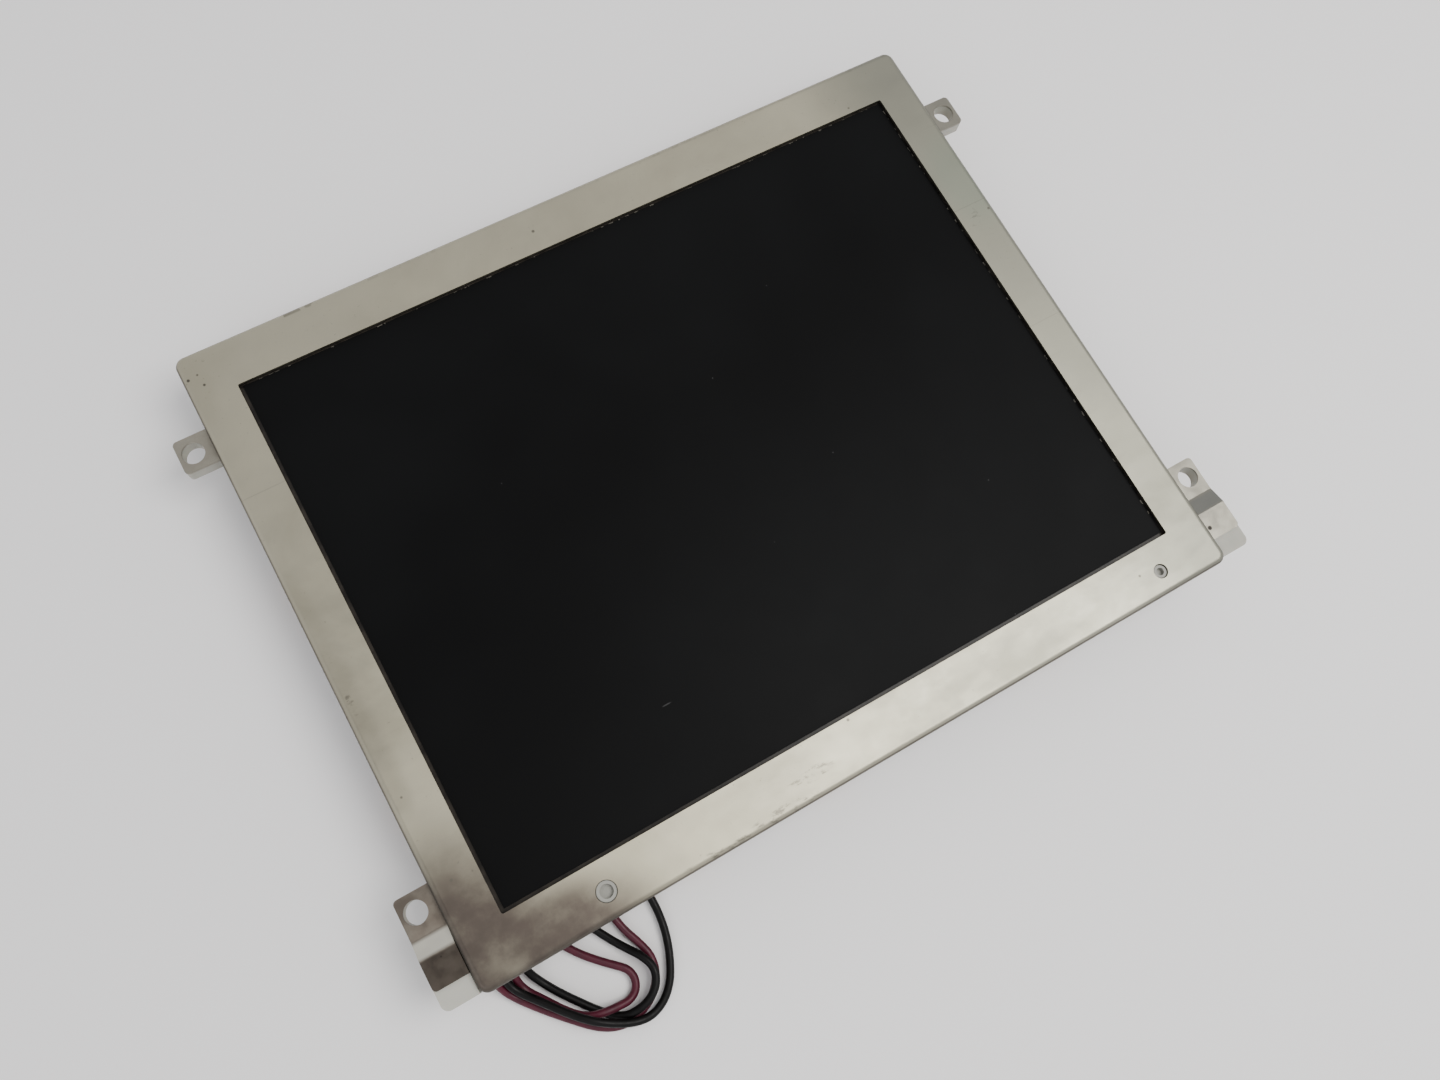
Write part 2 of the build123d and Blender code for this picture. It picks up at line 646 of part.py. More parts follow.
def board_screws():
    solids = []
    seats = [(x, y, control_board_bottom) for x, y in screw_places]
    seats += [(x, y, source_board_bottom) for x, y in source_screw_places]
    for x, y, seat in seats:
        head = column(x, y, seat - screw_head_height, seat, screw_head)
        head = fillet(head.edges().filter_by(GeomType.CIRCLE).sort_by(Axis.Z)[0], 0.4)
        head += column(x, y, seat - 0.1, floor_top - 0.4, screw_shank)
        cross = Box(1.9, 0.4, 1.1) + Box(0.4, 1.9, 1.1)
        solids.append(head - Pos(x, y, seat - screw_head_height) * cross)
    return solids


# ---- lamp wires, leads and their connectors ------------------------------------------------------
# Routes run from the grommet, down to the bench, out in a loop and back under the tray.
lead_routes = {
    "lead_pink_1": [
        (-61.9, -49.2, 3.3), (-61.9, -51.2, 3.3), (-62.3, -53.3, 2.0), (-62.0, -55.6, 0.7),
        (-60.2, -58.0, 0.66), (-57.4, -61.4, 0.9), (-55.3, -63.3, 1.9), (-53.0, -64.2, 2.3),
        (-50.8, -64.4, 1.5), (-48.8, -64.5, 0.66), (-47.2, -63.4, 0.66), (-46.8, -61.6, 0.66),
        (-48.2, -59.8, 0.66), (-50.4, -57.8, 0.66), (-52.5, -55.4, 0.66), (-54.3, -52.8, 0.7),
        (-55.8, -50.3, 1.05), (-56.7, -48.3, 1.5), (-56.9, -46.2, 1.6), (-56.9, -44.9, 1.6),
    ],
    "lead_black_1": [
        (-60.4, -49.2, 3.3), (-60.4, -51.2, 3.3), (-60.4, -53.3, 2.0), (-59.4, -55.8, 0.66),
        (-57.6, -58.7, 0.66), (-55.0, -62.2, 0.66), (-52.7, -65.0, 0.66), (-50.8, -66.25, 1.3),
        (-48.7, -66.4, 1.98), (-46.4, -65.9, 1.98), (-44.6, -64.5, 1.98), (-43.8, -62.3, 1.96),
        (-44.7, -60.0, 1.75), (-46.4, -57.7, 0.9), (-48.0, -55.2, 0.66), (-49.6, -52.2, 0.85),
        (-51.0, -49.4, 1.35), (-51.5, -47.0, 1.6), (-51.5, -44.9, 1.6),
    ],
    "lead_pink_2": [
        (-64.9, -49.2, 3.3), (-64.9, -51.2, 3.3), (-64.9, -53.2, 2.0), (-63.9, -55.6, 0.66),
        (-61.3, -58.9, 0.66), (-58.2, -62.4, 0.66), (-54.8, -65.9, 0.66), (-51.6, -67.4, 0.66),
        (-48.5, -67.1, 0.66), (-45.8, -65.7, 0.66), (-44.0, -63.5, 0.66), (-43.4, -60.8, 0.66),
        (-44.2, -58.1, 0.66), (-45.3, -55.4, 0.66), (-45.9, -52.4, 0.8), (-46.1, -49.5, 1.35),
        (-46.0, -47.0, 1.6), (-46.0, -44.9, 1.6),
    ],
    "lead_black_2": [
        (-63.4, -49.2, 3.3), (-63.4, -51.2, 3.3), (-63.6, -53.2, 2.7), (-62.8, -55.4, 2.05),
        (-60.4, -58.3, 2.0), (-57.5, -61.9, 2.3), (-55.1, -64.3, 3.3), (-52.7, -66.1, 3.0),
        (-50.1, -67.6, 2.0), (-47.5, -68.2, 1.3), (-44.9, -67.4, 0.66), (-42.8, -65.5, 0.66),
        (-41.3, -62.8, 0.66), (-40.2, -59.8, 0.66), (-39.6, -56.7, 0.66), (-39.5, -53.5, 0.66),
        (-39.9, -50.4, 1.05), (-40.5, -47.3, 1.6), (-40.6, -44.9, 1.6),
    ],
}


def lamp_wire_routes():
    """The lamps' own wires, which lie along the tray's underside and end in the grommet."""
    x, y, z, top = wire_hole_x, wire_hole_y, taped_z, lamp_z - 0.2
    return {
        "upper_hot_wire": [(-x, y, top), (-x, y, z), (-62.0, 43.5, z), (-62.9, 28.0, z),
                           (-62.6, -8.0, z), (-63.2, -34.0, z), (-63.4, grommet_high_y, z)],
        "upper_return_wire": [(x, y, top), (x, y, z), (62.2, 43.5, z), (62.9, 26.0, z), (62.6, -16.0, z),
                              (63.3, -42.0, z), (63.2, -47.5, z), (61.0, -50.2, z), (56.0, -49.9, z),
                              (47.0, -48.7, z), (14.0, -48.5, z), (-26.0, -48.7, z),
                              (grommet_high_x, -48.5, z)],
        "lower_return_wire": [(x, -y, top), (x, -y, z), (57.0, -47.1, z), (20.0, -46.8, z),
                              (-22.0, -47.0, z), (grommet_high_x, -46.8, z)],
        "lower_hot_wire": [(-x, -y, top), (-x, -y, chassis_bottom)],
    }


def grommet_key(grow):
    """The tongue that keys the grommet into the tray, or its pocket."""
    return block((grommet_low_x + grommet_margin - grow, grommet_low_y + grommet_margin - grow,
                  chassis_bottom - 0.2),
                 (grommet_low_x + grommet_margin + grommet_key_length + grow,
                  grommet_high_y - grommet_margin + grow, chassis_bottom + grommet_key_height + grow))


def lead_grommet():
    body = block((grommet_low_x, grommet_low_y, grommet_bottom),
                 (grommet_high_x, grommet_high_y, chassis_bottom))
    body = fillet(body.faces().sort_by(Axis.Z)[0].edges(), 0.25)
    return body + grommet_key(0.0)


def lead_connector(x):
    """Three-way plug housing that lies on the bench, with its wire side towards the lead edge."""
    low = (x - plug_width / 2, plug_front_y, 0)
    high = (x + plug_width / 2, plug_front_y + plug_length, plug_height)
    body = block(low, high)
    body = chamfer(body.edges().filter_by(Axis.Y), 0.25)
    mid_z = plug_height / 2
    for i in (-1, 0, 1):
        way = x + i * plug_pitch
        body -= block((way - plug_way_width / 2, plug_front_y - 1, mid_z - plug_way_height / 2),
                      (way + plug_way_width / 2, plug_front_y + plug_length - 1.2,
                       mid_z + plug_way_height / 2))
        body -= block((way - 0.6, plug_front_y, mid_z - 0.6),
                      (way + 0.6, plug_front_y + plug_length + 1, mid_z + 0.6))
        body -= block((way - 0.5, plug_front_y + 3.2, mid_z),
                      (way + 0.5, plug_front_y + 5.2, plug_height + 1))
    for side in (-1, 1):
        low_x, high_x = sorted((x + side * (plug_width / 2 - 0.35), x + side * (plug_width / 2 + 1)))
        body -= block((low_x, plug_front_y + plug_length - 4.4, mid_z - 0.5),
                      (high_x, plug_front_y + plug_length + 1, mid_z + 0.5))
    return body


def plug_contacts(x):
    """Crimped contacts in the two outer ways of a plug."""
    solids = []
    start, end = plug_front_y + lead_insert, plug_front_y + plug_length - 1.3
    for i in (-1, 1):
        way = x + i * plug_pitch
        box = block((way - contact_width / 2, start, plug_height / 2 - contact_height / 2),
                    (way + contact_width / 2, end, plug_height / 2 + contact_height / 2))
        box -= block((way - contact_width / 2 + 0.2, end - 3.5, plug_height / 2 - contact_height / 2 + 0.2),
                     (way + contact_width / 2 - 0.2, end + 1, plug_height / 2 + contact_height / 2 - 0.2))
        solids.append(box)
    return solids


def tape_section(middle, half):
    """Section across a strip of tape that holds wires against the tray's underside."""
    under = chassis_bottom
    low = taped_z - lead_radius - 0.05
    shoulder, reach = half + 0.2, half + 3.0
    upper = [(-reach, under), (-shoulder, under), (-half, low), (half, low), (shoulder, under),
             (reach, under)]
    lower = [(reach, under - tape_sheet), (shoulder + 0.09, under - tape_sheet),
             (half + 0.08, low - tape_sheet),
             (-half - 0.08, low - tape_sheet), (-shoulder - 0.09, under - tape_sheet),
             (-reach, under - tape_sheet)]
    return [(middle + u, z) for u, z in upper + lower]


def tape_strips():
    half_strip = tape_strip_width / 2
    long_tape = tape_section(-47.75, 1.75)
    strips = [along_x(long_tape, x - half_strip, x + half_strip) for x in (34.0, -6.0, -32.0)]
    for x, half, y in ((-62.75, 0.85, 14.0), (-63.0, 0.85, -24.0), (62.7, 0.85, 4.0), (62.95, 0.85, -30.0)):
        face = Plane.XZ * make_face(Polyline(*tape_section(x, half), close=True))
        strips.append(Pos(0, y - half_strip, 0) * extrude(face, tape_strip_width, dir=(0, 1, 0)))
    return strips


# ---- all nodes ------------------------------------------------------------------------------------
def optical_plate(length, width, low_z, high_z):
    """One plate of the optical stack, centred on the window."""
    return plate(length, width, low_z, high_z, 0, window_x, window_y)


def front_polarizer():
    half_x, half_y = window_length / 2, window_width / 2
    return block((window_x - half_x + polarizer_near_gap, window_y - half_y + polarizer_near_gap, filter_top),
                 (window_x + half_x - polarizer_far_gap, window_y + half_y - polarizer_far_gap, panel_top))


def bezel_gasket():
    outer_length, outer_width = filter_length - 0.4, filter_width - 0.4
    ring = optical_plate(outer_length, outer_width, filter_top, under_bezel_z)
    return ring - optical_plate(outer_length - 2 * gasket_width, outer_width - 2 * gasket_width, 0, face_z)


def gate_driver_chips():
    x = array_low_x + array_left_ledge / 2
    return [block((x - driver_chip_width / 2, y - driver_chip_length / 2, filter_bottom),
                  (x + driver_chip_width / 2, y + driver_chip_length / 2,
                   filter_bottom + driver_chip_height))
            for y in (-20.0, 20.0)]


def source_driver_chips():
    low_z = filter_bottom + film_sheet
    low_y = array_high_y + 0.4
    return [block((x - driver_chip_length / 2, low_y, low_z),
                  (x + driver_chip_length / 2, low_y + driver_chip_width, low_z + driver_chip_height))
            for x in source_film_places()]


def film_stack():
    """The optical films between the light guide and the panel, from the bottom up."""
    films, low = {}, guide_top + film_gap
    for name in ("lower_diffuser", "prism_film", "upper_diffuser"):
        films[name] = optical_plate(optical_length, optical_width, low, low + diffuser_sheet)
        low += diffuser_sheet + film_gap
    return films


def nodes():
    """Every node of the module by name."""
    film_y = window_y + filter_width / 2 + 0.6
    made = {
        "front_bezel": front_bezel(),
        "bezel_gasket": bezel_gasket(),
        "front_polarizer": front_polarizer(),
        "colour_filter_glass": optical_plate(filter_length, filter_width, filter_bottom, filter_top),
        "tft_array_glass": block((array_low_x, array_low_y, array_bottom),
                                 (array_high_x, array_high_y, filter_bottom)),
        "rear_polarizer": optical_plate(optical_length, optical_width, rear_film_bottom, array_bottom),
        "panel_frame": panel_frame(),
        "light_guide": plate(guide_length, guide_width, guide_bottom, guide_top),
        "reflector_sheet": plate(guide_length, guide_width, guide_bottom - film_gap - mirror_sheet,
                                 guide_bottom - film_gap),
        "backlight_chassis": backlight_chassis(),
        "ear_rail_right": ear_rail(),
        "ear_rail_left": mirrored(ear_rail()),
        "gate_driver_chips": gate_driver_chips(),
        "source_driver_chips": source_driver_chips(),
        "gate_flex": wrapped_film(gate_film_width, gate_film_x, film_y),
        "source_board": source_board(),
        "source_board_capacitors": source_board_capacitors(),
        "control_board": control_board(),
        "board_flex": board_flex(),
        "shield_can": shield_can(),
        "timing_controller": timing_controller(),
        "interface_chips": interface_chips(),
        "board_capacitors": board_capacitors(),
        "board_resistors": board_resistors(),
        "board_inductors": board_inductors(),
        "input_connector": input_connector(),
        "connector_lock": connector_lock(),
        "trimmer_body": trimmer_body(),
        "trimmer_rotor": trimmer_rotor(),
        "board_screws": board_screws(),
        "lead_grommet": lead_grommet(),
        "tape_strips": tape_strips(),
    }
    made.update(film_stack())
    for i, x in enumerate(source_film_places(), 1):
        made[f"source_film_{i}"] = wrapped_film(source_film_width, x, film_y)
    for side_y, level in ((-1, "lower"), (1, "upper")):
        made[f"lamp_tube_{level}"] = lamp_tube(side_y)
        made[f"lamp_reflector_{level}"] = lamp_mirror(side_y)
        for side_x, end in ((-1, "left"), (1, "right")):
            made[f"lamp_boot_{level}_{end}"] = lamp_boot(side_x, side_y)
    for i, x in enumerate(plug_centres, 1):
        made[f"lead_connector_{i}"] = lead_connector(x)
        made[f"lead_contacts_{i}"] = plug_contacts(x)
    for name, points in {**lamp_wire_routes(), **lead_routes}.items():
        wire, path, radii = tube(points)
        expected = math.pi * lead_radius ** 2 * path.length
        tightest = f"{min(radii):.2f}" if radii else "none"
        print(f"{name}: {path.length:.1f} mm long, tightest arc {tightest} mm, "
              f"volume over section times length {wire.volume / expected:.4f}")
        made[name] = wire
    return made


def as_shape(piece):
    """One shape out of a solid, a compound or a list of them."""
    parts = list(piece) if isinstance(piece, (list, tuple)) else [piece]
    solids = [solid for part in parts for solid in part.solids()]
    return solids[0] if len(solids) == 1 else Compound(children=solids)


def main():
    os.makedirs("parts", exist_ok=True)
    made = nodes()
    for name, piece in made.items():
        shape = as_shape(piece)
        shape.label = name
        export_step(shape, f"parts/{name}.step")
    print(len(made), "nodes")


main()
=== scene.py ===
import logging
import math
import random
from abc import ABC, abstractmethod
from dataclasses import dataclass
from enum import Enum
from typing import Union

import bmesh
import bpy
from mathutils import Euler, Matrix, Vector


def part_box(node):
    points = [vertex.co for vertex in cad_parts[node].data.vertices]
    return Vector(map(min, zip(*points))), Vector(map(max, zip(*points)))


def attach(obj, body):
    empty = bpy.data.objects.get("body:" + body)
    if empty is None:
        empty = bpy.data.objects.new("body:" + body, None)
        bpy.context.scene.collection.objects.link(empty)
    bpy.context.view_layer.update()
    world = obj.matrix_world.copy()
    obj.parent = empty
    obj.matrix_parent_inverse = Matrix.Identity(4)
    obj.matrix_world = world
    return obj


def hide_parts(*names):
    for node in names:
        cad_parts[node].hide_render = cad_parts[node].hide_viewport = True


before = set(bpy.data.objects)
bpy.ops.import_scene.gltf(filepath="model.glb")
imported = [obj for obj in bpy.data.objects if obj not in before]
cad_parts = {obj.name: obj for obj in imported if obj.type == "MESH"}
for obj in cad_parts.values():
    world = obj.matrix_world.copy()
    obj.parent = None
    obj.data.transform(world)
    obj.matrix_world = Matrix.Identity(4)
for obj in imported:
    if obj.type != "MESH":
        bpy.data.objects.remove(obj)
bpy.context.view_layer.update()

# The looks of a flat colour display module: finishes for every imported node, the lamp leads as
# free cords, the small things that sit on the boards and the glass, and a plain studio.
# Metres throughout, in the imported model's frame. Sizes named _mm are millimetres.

MM = 0.001
MODULE = "module"
LOG = logging.getLogger("display_module")
MADE: dict[str, bpy.types.Material] = {}

Colour = tuple[float, float, float]
Place = tuple[float, float, float]
Value = Union[float, bpy.types.NodeSocket]


class Axis(Enum):
    """A row axis, as the index of its coordinate."""

    X = 0
    Y = 1
    Z = 2


class Graph:
    """Adds shader nodes to one new material and joins them up."""

    def __init__(self, name: str) -> None:
        """Starts a material of that name with its principled shader.

        Args:
            name: what the material is called.
        """
        self.material = bpy.data.materials.new(name)
        self.material.use_nodes = True
        self.tree = self.material.node_tree
        self.shader = next(n for n in self.tree.nodes if n.type == "BSDF_PRINCIPLED")
        self._place: Union[bpy.types.NodeSocket, None] = None

    def node(self, kind: str, **settings: object) -> bpy.types.Node:
        """Adds a node.

        Args:
            kind: the node's type name, without its ShaderNode prefix.
            settings: the node's own properties.

        Returns:
            The new node.
        """
        made = self.tree.nodes.new("ShaderNode" + kind)
        for key, value in settings.items():
            setattr(made, key, value)
        return made

    def feed(self, socket: bpy.types.NodeSocket, value: object) -> None:
        """Joins a socket to another, or sets it to a plain value.

        Args:
            socket: the input to fill.
            value: an output to join, or a number, colour or vector.
        """
        if isinstance(value, bpy.types.NodeSocket):
            self.tree.links.new(value, socket)
        elif isinstance(value, tuple) and len(value) == 3 and socket.type == "RGBA":
            socket.default_value = (*value, 1.0)
        else:
            socket.default_value = value

    def set(self, **sockets: object) -> None:
        """Sets the principled shader's sockets, named with underscores for spaces."""
        for key, value in sockets.items():
            self.feed(self.shader.inputs[key.replace("_", " ")], value)

    def place(self) -> bpy.types.NodeSocket:
        """The point on the piece, in the row frame."""
        if self._place is None:
            self._place = self.node("TexCoord").outputs["Object"]
        return self._place

    def mapped(self, move: Place = (0, 0, 0), scale: Place = (1, 1, 1),
               turn: float = 0.0) -> bpy.types.NodeSocket:
        """The point, moved by minus move, turned about Z in degrees and scaled.

        Args:
            move: taken off the point first.
            scale: scale along each axis.
            turn: degrees about Z.

        Returns:
            The new point.
        """
        shift = self.node("VectorMath", operation="SUBTRACT")
        self.feed(shift.inputs[0], self.place())
        shift.inputs[1].default_value = move
        mapping = self.node("Mapping")
        self.feed(mapping.inputs["Vector"], shift.outputs[0])
        mapping.inputs["Rotation"].default_value = (0, 0, math.radians(turn))
        mapping.inputs["Scale"].default_value = scale
        return mapping.outputs[0]

    def noise(self, size_mm: float, detail: float = 3.0, rough: float = 0.55, stretch: Place = (1, 1, 1),
              turn: float = 0.0, warp: float = 0.0) -> bpy.types.NodeSocket:
        """Cloudy noise.

        Args:
            size_mm: how wide its largest patches are.
            detail: octaves.
            rough: how strong the finer octaves are.
            stretch: scale along each axis, under 1 for streaks along it.
            turn: degrees about Z.
            warp: distortion.

        Returns:
            A value about 0.5, from 0 to 1.
        """
        made = self.node("TexNoise")
        self.feed(made.inputs["Vector"], self.mapped(scale=stretch, turn=turn))
        made.inputs["Scale"].default_value = 1.0 / (size_mm * MM)
        made.inputs["Detail"].default_value = detail
        made.inputs["Roughness"].default_value = rough
        made.inputs["Distortion"].default_value = warp
        return made.outputs["Fac"]

    def cells(self, size_mm: float, feature: str = "F1", stretch: Place = (1, 1, 1), loose: float = 1.0,
              output: str = "Distance") -> bpy.types.NodeSocket:
        """Voronoi cells of that size: the distance to each cell's point, or another output.

        Args:
            size_mm: how wide a cell is.
            feature: which distance or edge is measured.
            stretch: scale along each axis.
            loose: how far points stray, from 0 for a grid.
            output: the output to read.

        Returns:
            That output.
        """
        made = self.node("TexVoronoi", feature=feature)
        self.feed(made.inputs["Vector"], self.mapped(scale=stretch))
        made.inputs["Scale"].default_value = 1.0 / (size_mm * MM)
        made.inputs["Randomness"].default_value = loose
        return made.outputs[output]

    def remap(self, value: Value, low: float, high: float, to_low: float = 0.0,
              to_high: float = 1.0) -> bpy.types.NodeSocket:
        """Maps low..high smoothly to to_low..to_high, held at both ends.

        Args:
            value: what is mapped.
            low: start of its range.
            high: end of its range.
            to_low: result at low.
            to_high: result at high.

        Returns:
            The mapped value.
        """
        made = self.node("MapRange", interpolation_type="SMOOTHSTEP")
        for key, part in (("Value", value), ("From Min", low), ("From Max", high), ("To Min", to_low),
                          ("To Max", to_high)):
            self.feed(made.inputs[key], part)
        return made.outputs[0]

    def math(self, operation: str, first: Value, second: Value = 0.0) -> bpy.types.NodeSocket:
        """One step of arithmetic."""
        made = self.node("Math", operation=operation)
        self.feed(made.inputs[0], first)
        self.feed(made.inputs[1], second)
        return made.outputs[0]

    def most(self, *values: Value) -> bpy.types.NodeSocket:
        """The largest of several masks."""
        best = values[0]
        for value in values[1:]:
            best = self.math("MAXIMUM", best, value)
        return best

    def blend(self, factor: Value, first: object, second: object) -> bpy.types.NodeSocket:
        """Colour that goes from first to second as factor goes from 0 to 1.

        Args:
            factor: from 0 to 1.
            first: the colour at 0.
            second: the colour at 1.

        Returns:
            The colour.
        """
        made = self.node("Mix", data_type="RGBA")
        colours = [s for s in made.inputs if s.type == "RGBA"]
        self.feed(made.inputs[0], factor)
        self.feed(colours[0], first)
        self.feed(colours[1], second)
        return next(s for s in made.outputs if s.type == "RGBA")

    def along(self, axis: Axis) -> bpy.types.NodeSocket:
        """One coordinate of the point, in metres."""
        made = self.node("SeparateXYZ")
        self.feed(made.inputs[0], self.place())
        return made.outputs[axis.value]

    def strip(self, axis: Axis, low_mm: float, high_mm: float, soft_mm: float) -> bpy.types.NodeSocket:
        """A mask that is 1 between two heights along an axis."""
        spot = self.along(axis)
        rise = self.remap(spot, (low_mm - soft_mm) * MM, (low_mm + soft_mm) * MM)
        fall = self.remap(spot, (high_mm - soft_mm) * MM, (high_mm + soft_mm) * MM, 1.0, 0.0)
        return self.math("MULTIPLY", rise, fall)

    def blot(self, x_mm: float, y_mm: float, wide_mm: float, tall_mm: float, turn: float = 0.0,
             edge: float = 0.6) -> bpy.types.NodeSocket:
        """A soft oval mask seen from the front.

        Args:
            x_mm: its middle.
            y_mm: its middle.
            wide_mm: half its width.
            tall_mm: half its height.
            turn: degrees about Z.
            edge: where the fall starts, as a share of the radius.

        Returns:
            1 inside and 0 outside.
        """
        spot = self.mapped((x_mm * MM, y_mm * MM, 0), (1 / (wide_mm * MM), 1 / (tall_mm * MM), 0), turn)
        length = self.node("VectorMath", operation="LENGTH")
        self.feed(length.inputs[0], spot)
        return self.remap(length.outputs["Value"], edge, 1.0, 1.0, 0.0)

    def relief(self, height: Value, depth_mm: float, strength: float = 1.0) -> None:
        """Bump on the shader's normal.

        Args:
            height: from 0 to 1.
            depth_mm: how deep 1 is.
            strength: share of the effect.
        """
        made = self.node("Bump")
        made.inputs["Strength"].default_value = strength
        made.inputs["Distance"].default_value = depth_mm * MM
        self.feed(made.inputs["Height"], height)
        earlier = self.shader.inputs["Normal"].links
        if earlier:
            self.feed(made.inputs["Normal"], earlier[0].from_socket)
        self.feed(self.shader.inputs["Normal"], made.outputs[0])


@dataclass(frozen=True)
class Finish(ABC):
    """A surface finish that is made once and put on any number of pieces."""

    name: str

    @abstractmethod
    def build(self, graph: Graph) -> None:
        """Adds this finish's nodes to the graph."""

    def material(self) -> bpy.types.Material:
        """This finish's material, made on first use.

        Returns:
            The material.
        """
        if self.name not in MADE:
            graph = Graph(self.name + "_finish")
            self.build(graph)
            MADE[self.name] = graph.material
        return MADE[self.name]

    def dress(self, *names: str) -> None:
        """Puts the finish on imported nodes.

        Args:
            names: the nodes.
        """
        for name in names:
            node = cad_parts[name]
            if not node.material_slots:
                node.data.materials.append(None)
            for slot in node.material_slots:
                slot.material = self.material()
            LOG.info("dressed %s with %s", name, self.name)


@dataclass(frozen=True)
class BezelSheet(Finish):
    """Nickel-plated sheet with a faint roll grain, handling marks, a browned corner under a painted dark
    reflection, and painted highlight and shade.
    """

    clean: Colour = (0.51, 0.478, 0.368)
    worn: Colour = (0.425, 0.393, 0.296)
    # Brown of the corner browning, also used for the painted dark reflection over it.
    brown: Colour = (0.108, 0.089, 0.076)
    # Colour of the painted highlight along the bottom border.
    bright: Colour = (0.45, 0.442, 0.365)
    mark: Colour = (0.13, 0.12, 0.10)
    # Colour of the painted shade on the bent-down sides.
    folded_shade: Colour = (0.115, 0.105, 0.09)

    def build(self, graph: Graph) -> None:
        """Grain along X, cloudy patina, scuffs at the lead edge, a painted highlight along the bottom border,
        painted shade on the bent-down sides and small nicks.

        Args:
            graph: the finish's nodes.
        """
        cloud = graph.remap(graph.noise(26, 5, 0.6, warp=0.6), 0.35, 0.72)
        fine = graph.noise(2.2, 4, 0.6)
        grain = graph.noise(0.35, 2, 0.5, stretch=(0.03, 1, 1))
        colour = graph.blend(graph.math("MULTIPLY", cloud, 0.75), self.clean, self.worn)
        # Painted highlight: the bottom border is lightened, more towards the right, standing in for the key
        # light's reflection there.
        bottom_highlight = graph.math("MULTIPLY", graph.strip(Axis.Y, -60, -44, 3), graph.remap(
            graph.along(Axis.X), -0.045, 0.045))
        colour = graph.blend(graph.math("MULTIPLY", bottom_highlight, 0.75), colour, self.bright)
        colour = self._stain_and_painted_shade(graph, colour)
        colour = graph.blend(self._marks(graph), colour, self.mark)
        # Painted shade: the bent-down sides below the face are darkened strongly.
        low = graph.strip(Axis.Z, 0, 12.72, 0.12)
        colour = graph.blend(graph.math("MULTIPLY", low, 0.9), colour, self.folded_shade)
        graph.set(Base_Color=colour, Metallic=1.0, Anisotropic=0.35)
        rough = graph.remap(graph.noise(9, 5, 0.65, stretch=(0.5, 1, 1)), 0.25, 0.75, 0.34, 0.5)
        rough = graph.math("ADD", rough, graph.math("MULTIPLY", low, 0.15))
        graph.set(Roughness=graph.math("ADD", rough, graph.math("MULTIPLY", fine, 0.08)))
        graph.relief(grain, 0.004, 0.5)
        graph.relief(graph.noise(14, 2), 0.06, 0.35)

    def _stain_and_painted_shade(self, graph: Graph, colour: bpy.types.NodeSocket) -> bpy.types.NodeSocket:
        """The handled corner's browning, deepened by a painted dark reflection and patchy at its border,
        painted shade towards the right edge, and a faint green bloom.

        Args:
            graph: the finish's nodes.
            colour: the metal before it.

        Returns:
            The colour with the stain on it.
        """
        # Partly real browning of the metal and partly a painted dark reflection of what hangs over this
        # corner, made wide and dark to cover both.
        stain_and_dark_reflection = graph.most(graph.blot(-64, -47, 19, 24, edge=0.25), graph.blot(-59, -52, 24, 10, edge=0.5))
        stain_and_dark_reflection = graph.math("MULTIPLY", stain_and_dark_reflection, graph.remap(graph.noise(6, 5, 0.6), 0.2, 0.65, 0.72, 1.0))
        wipe = graph.math("MULTIPLY", graph.blot(-64.5, -12, 3, 34, edge=0.2), 0.2)
        colour = graph.blend(graph.most(stain_and_dark_reflection, wipe), colour, self.brown)
        # Painted shade: the sheet is greyed and darkened towards its right edge, on the side away from the
        # camera.
        far_side_shade = graph.math("MULTIPLY", graph.remap(graph.along(Axis.X), 0.043, 0.062), 0.85)
        colour = graph.blend(far_side_shade, colour, (0.275, 0.272, 0.225))
        bloom = graph.math("MULTIPLY", graph.blot(64, 25, 7, 13, edge=0.3), 0.5)
        return graph.blend(bloom, colour, (0.275, 0.305, 0.24))

    def _marks(self, graph: Graph) -> bpy.types.NodeSocket:
        """Scuffs, dots, edge dashes and small nicks.

        Args:
            graph: the finish's nodes.

        Returns:
            How marked a point is, from 0 to 1.
        """
        scuff = graph.most(graph.blot(-17, -52.2, 8, 1.3), graph.blot(-11, -49.4, 5, 1.2, 12),
                           graph.blot(-64.6, -8, 0.6, 2.4), graph.blot(61.8, 17.5, 1.4, 3.0),
                           graph.blot(-28, -52.4, 7, 0.9))
        rubbed = graph.remap(graph.noise(0.8, 5, 0.7, stretch=(0.4, 1, 1)), 0.50, 0.66, 0.0, 0.7)
        scuff = graph.math("MULTIPLY", scuff, rubbed)
        pricks = graph.remap(graph.cells(1.3), 0.16, 0.26, 1, 0)
        dots = graph.math("MULTIPLY", graph.blot(-63.5, 48.5, 3, 3.2), pricks)
        dash = graph.math("MULTIPLY", graph.strip(Axis.Y, 52.1, 53.4, 0.15),
                          graph.remap(graph.noise(1.6, 3, stretch=(0.7, 0.2, 1)), 0.56, 0.62))
        dash = graph.math("MULTIPLY", dash, graph.remap(graph.along(Axis.X), -0.062, -0.030, 0.9, 0.15))
        speck = graph.remap(graph.cells(6.5), 0.028, 0.05, 0.8, 0.0)
        fleck = graph.math("MULTIPLY", graph.remap(graph.noise(0.7, 4, 0.7), 0.66, 0.72), 0.35)
        hair = graph.remap(graph.noise(3, 2, stretch=(0.05, 4, 1), turn=-38), 0.70, 0.74)
        hair = graph.math("MULTIPLY", hair, 0.25)
        return graph.most(scuff, dots, dash, speck, fleck, hair)


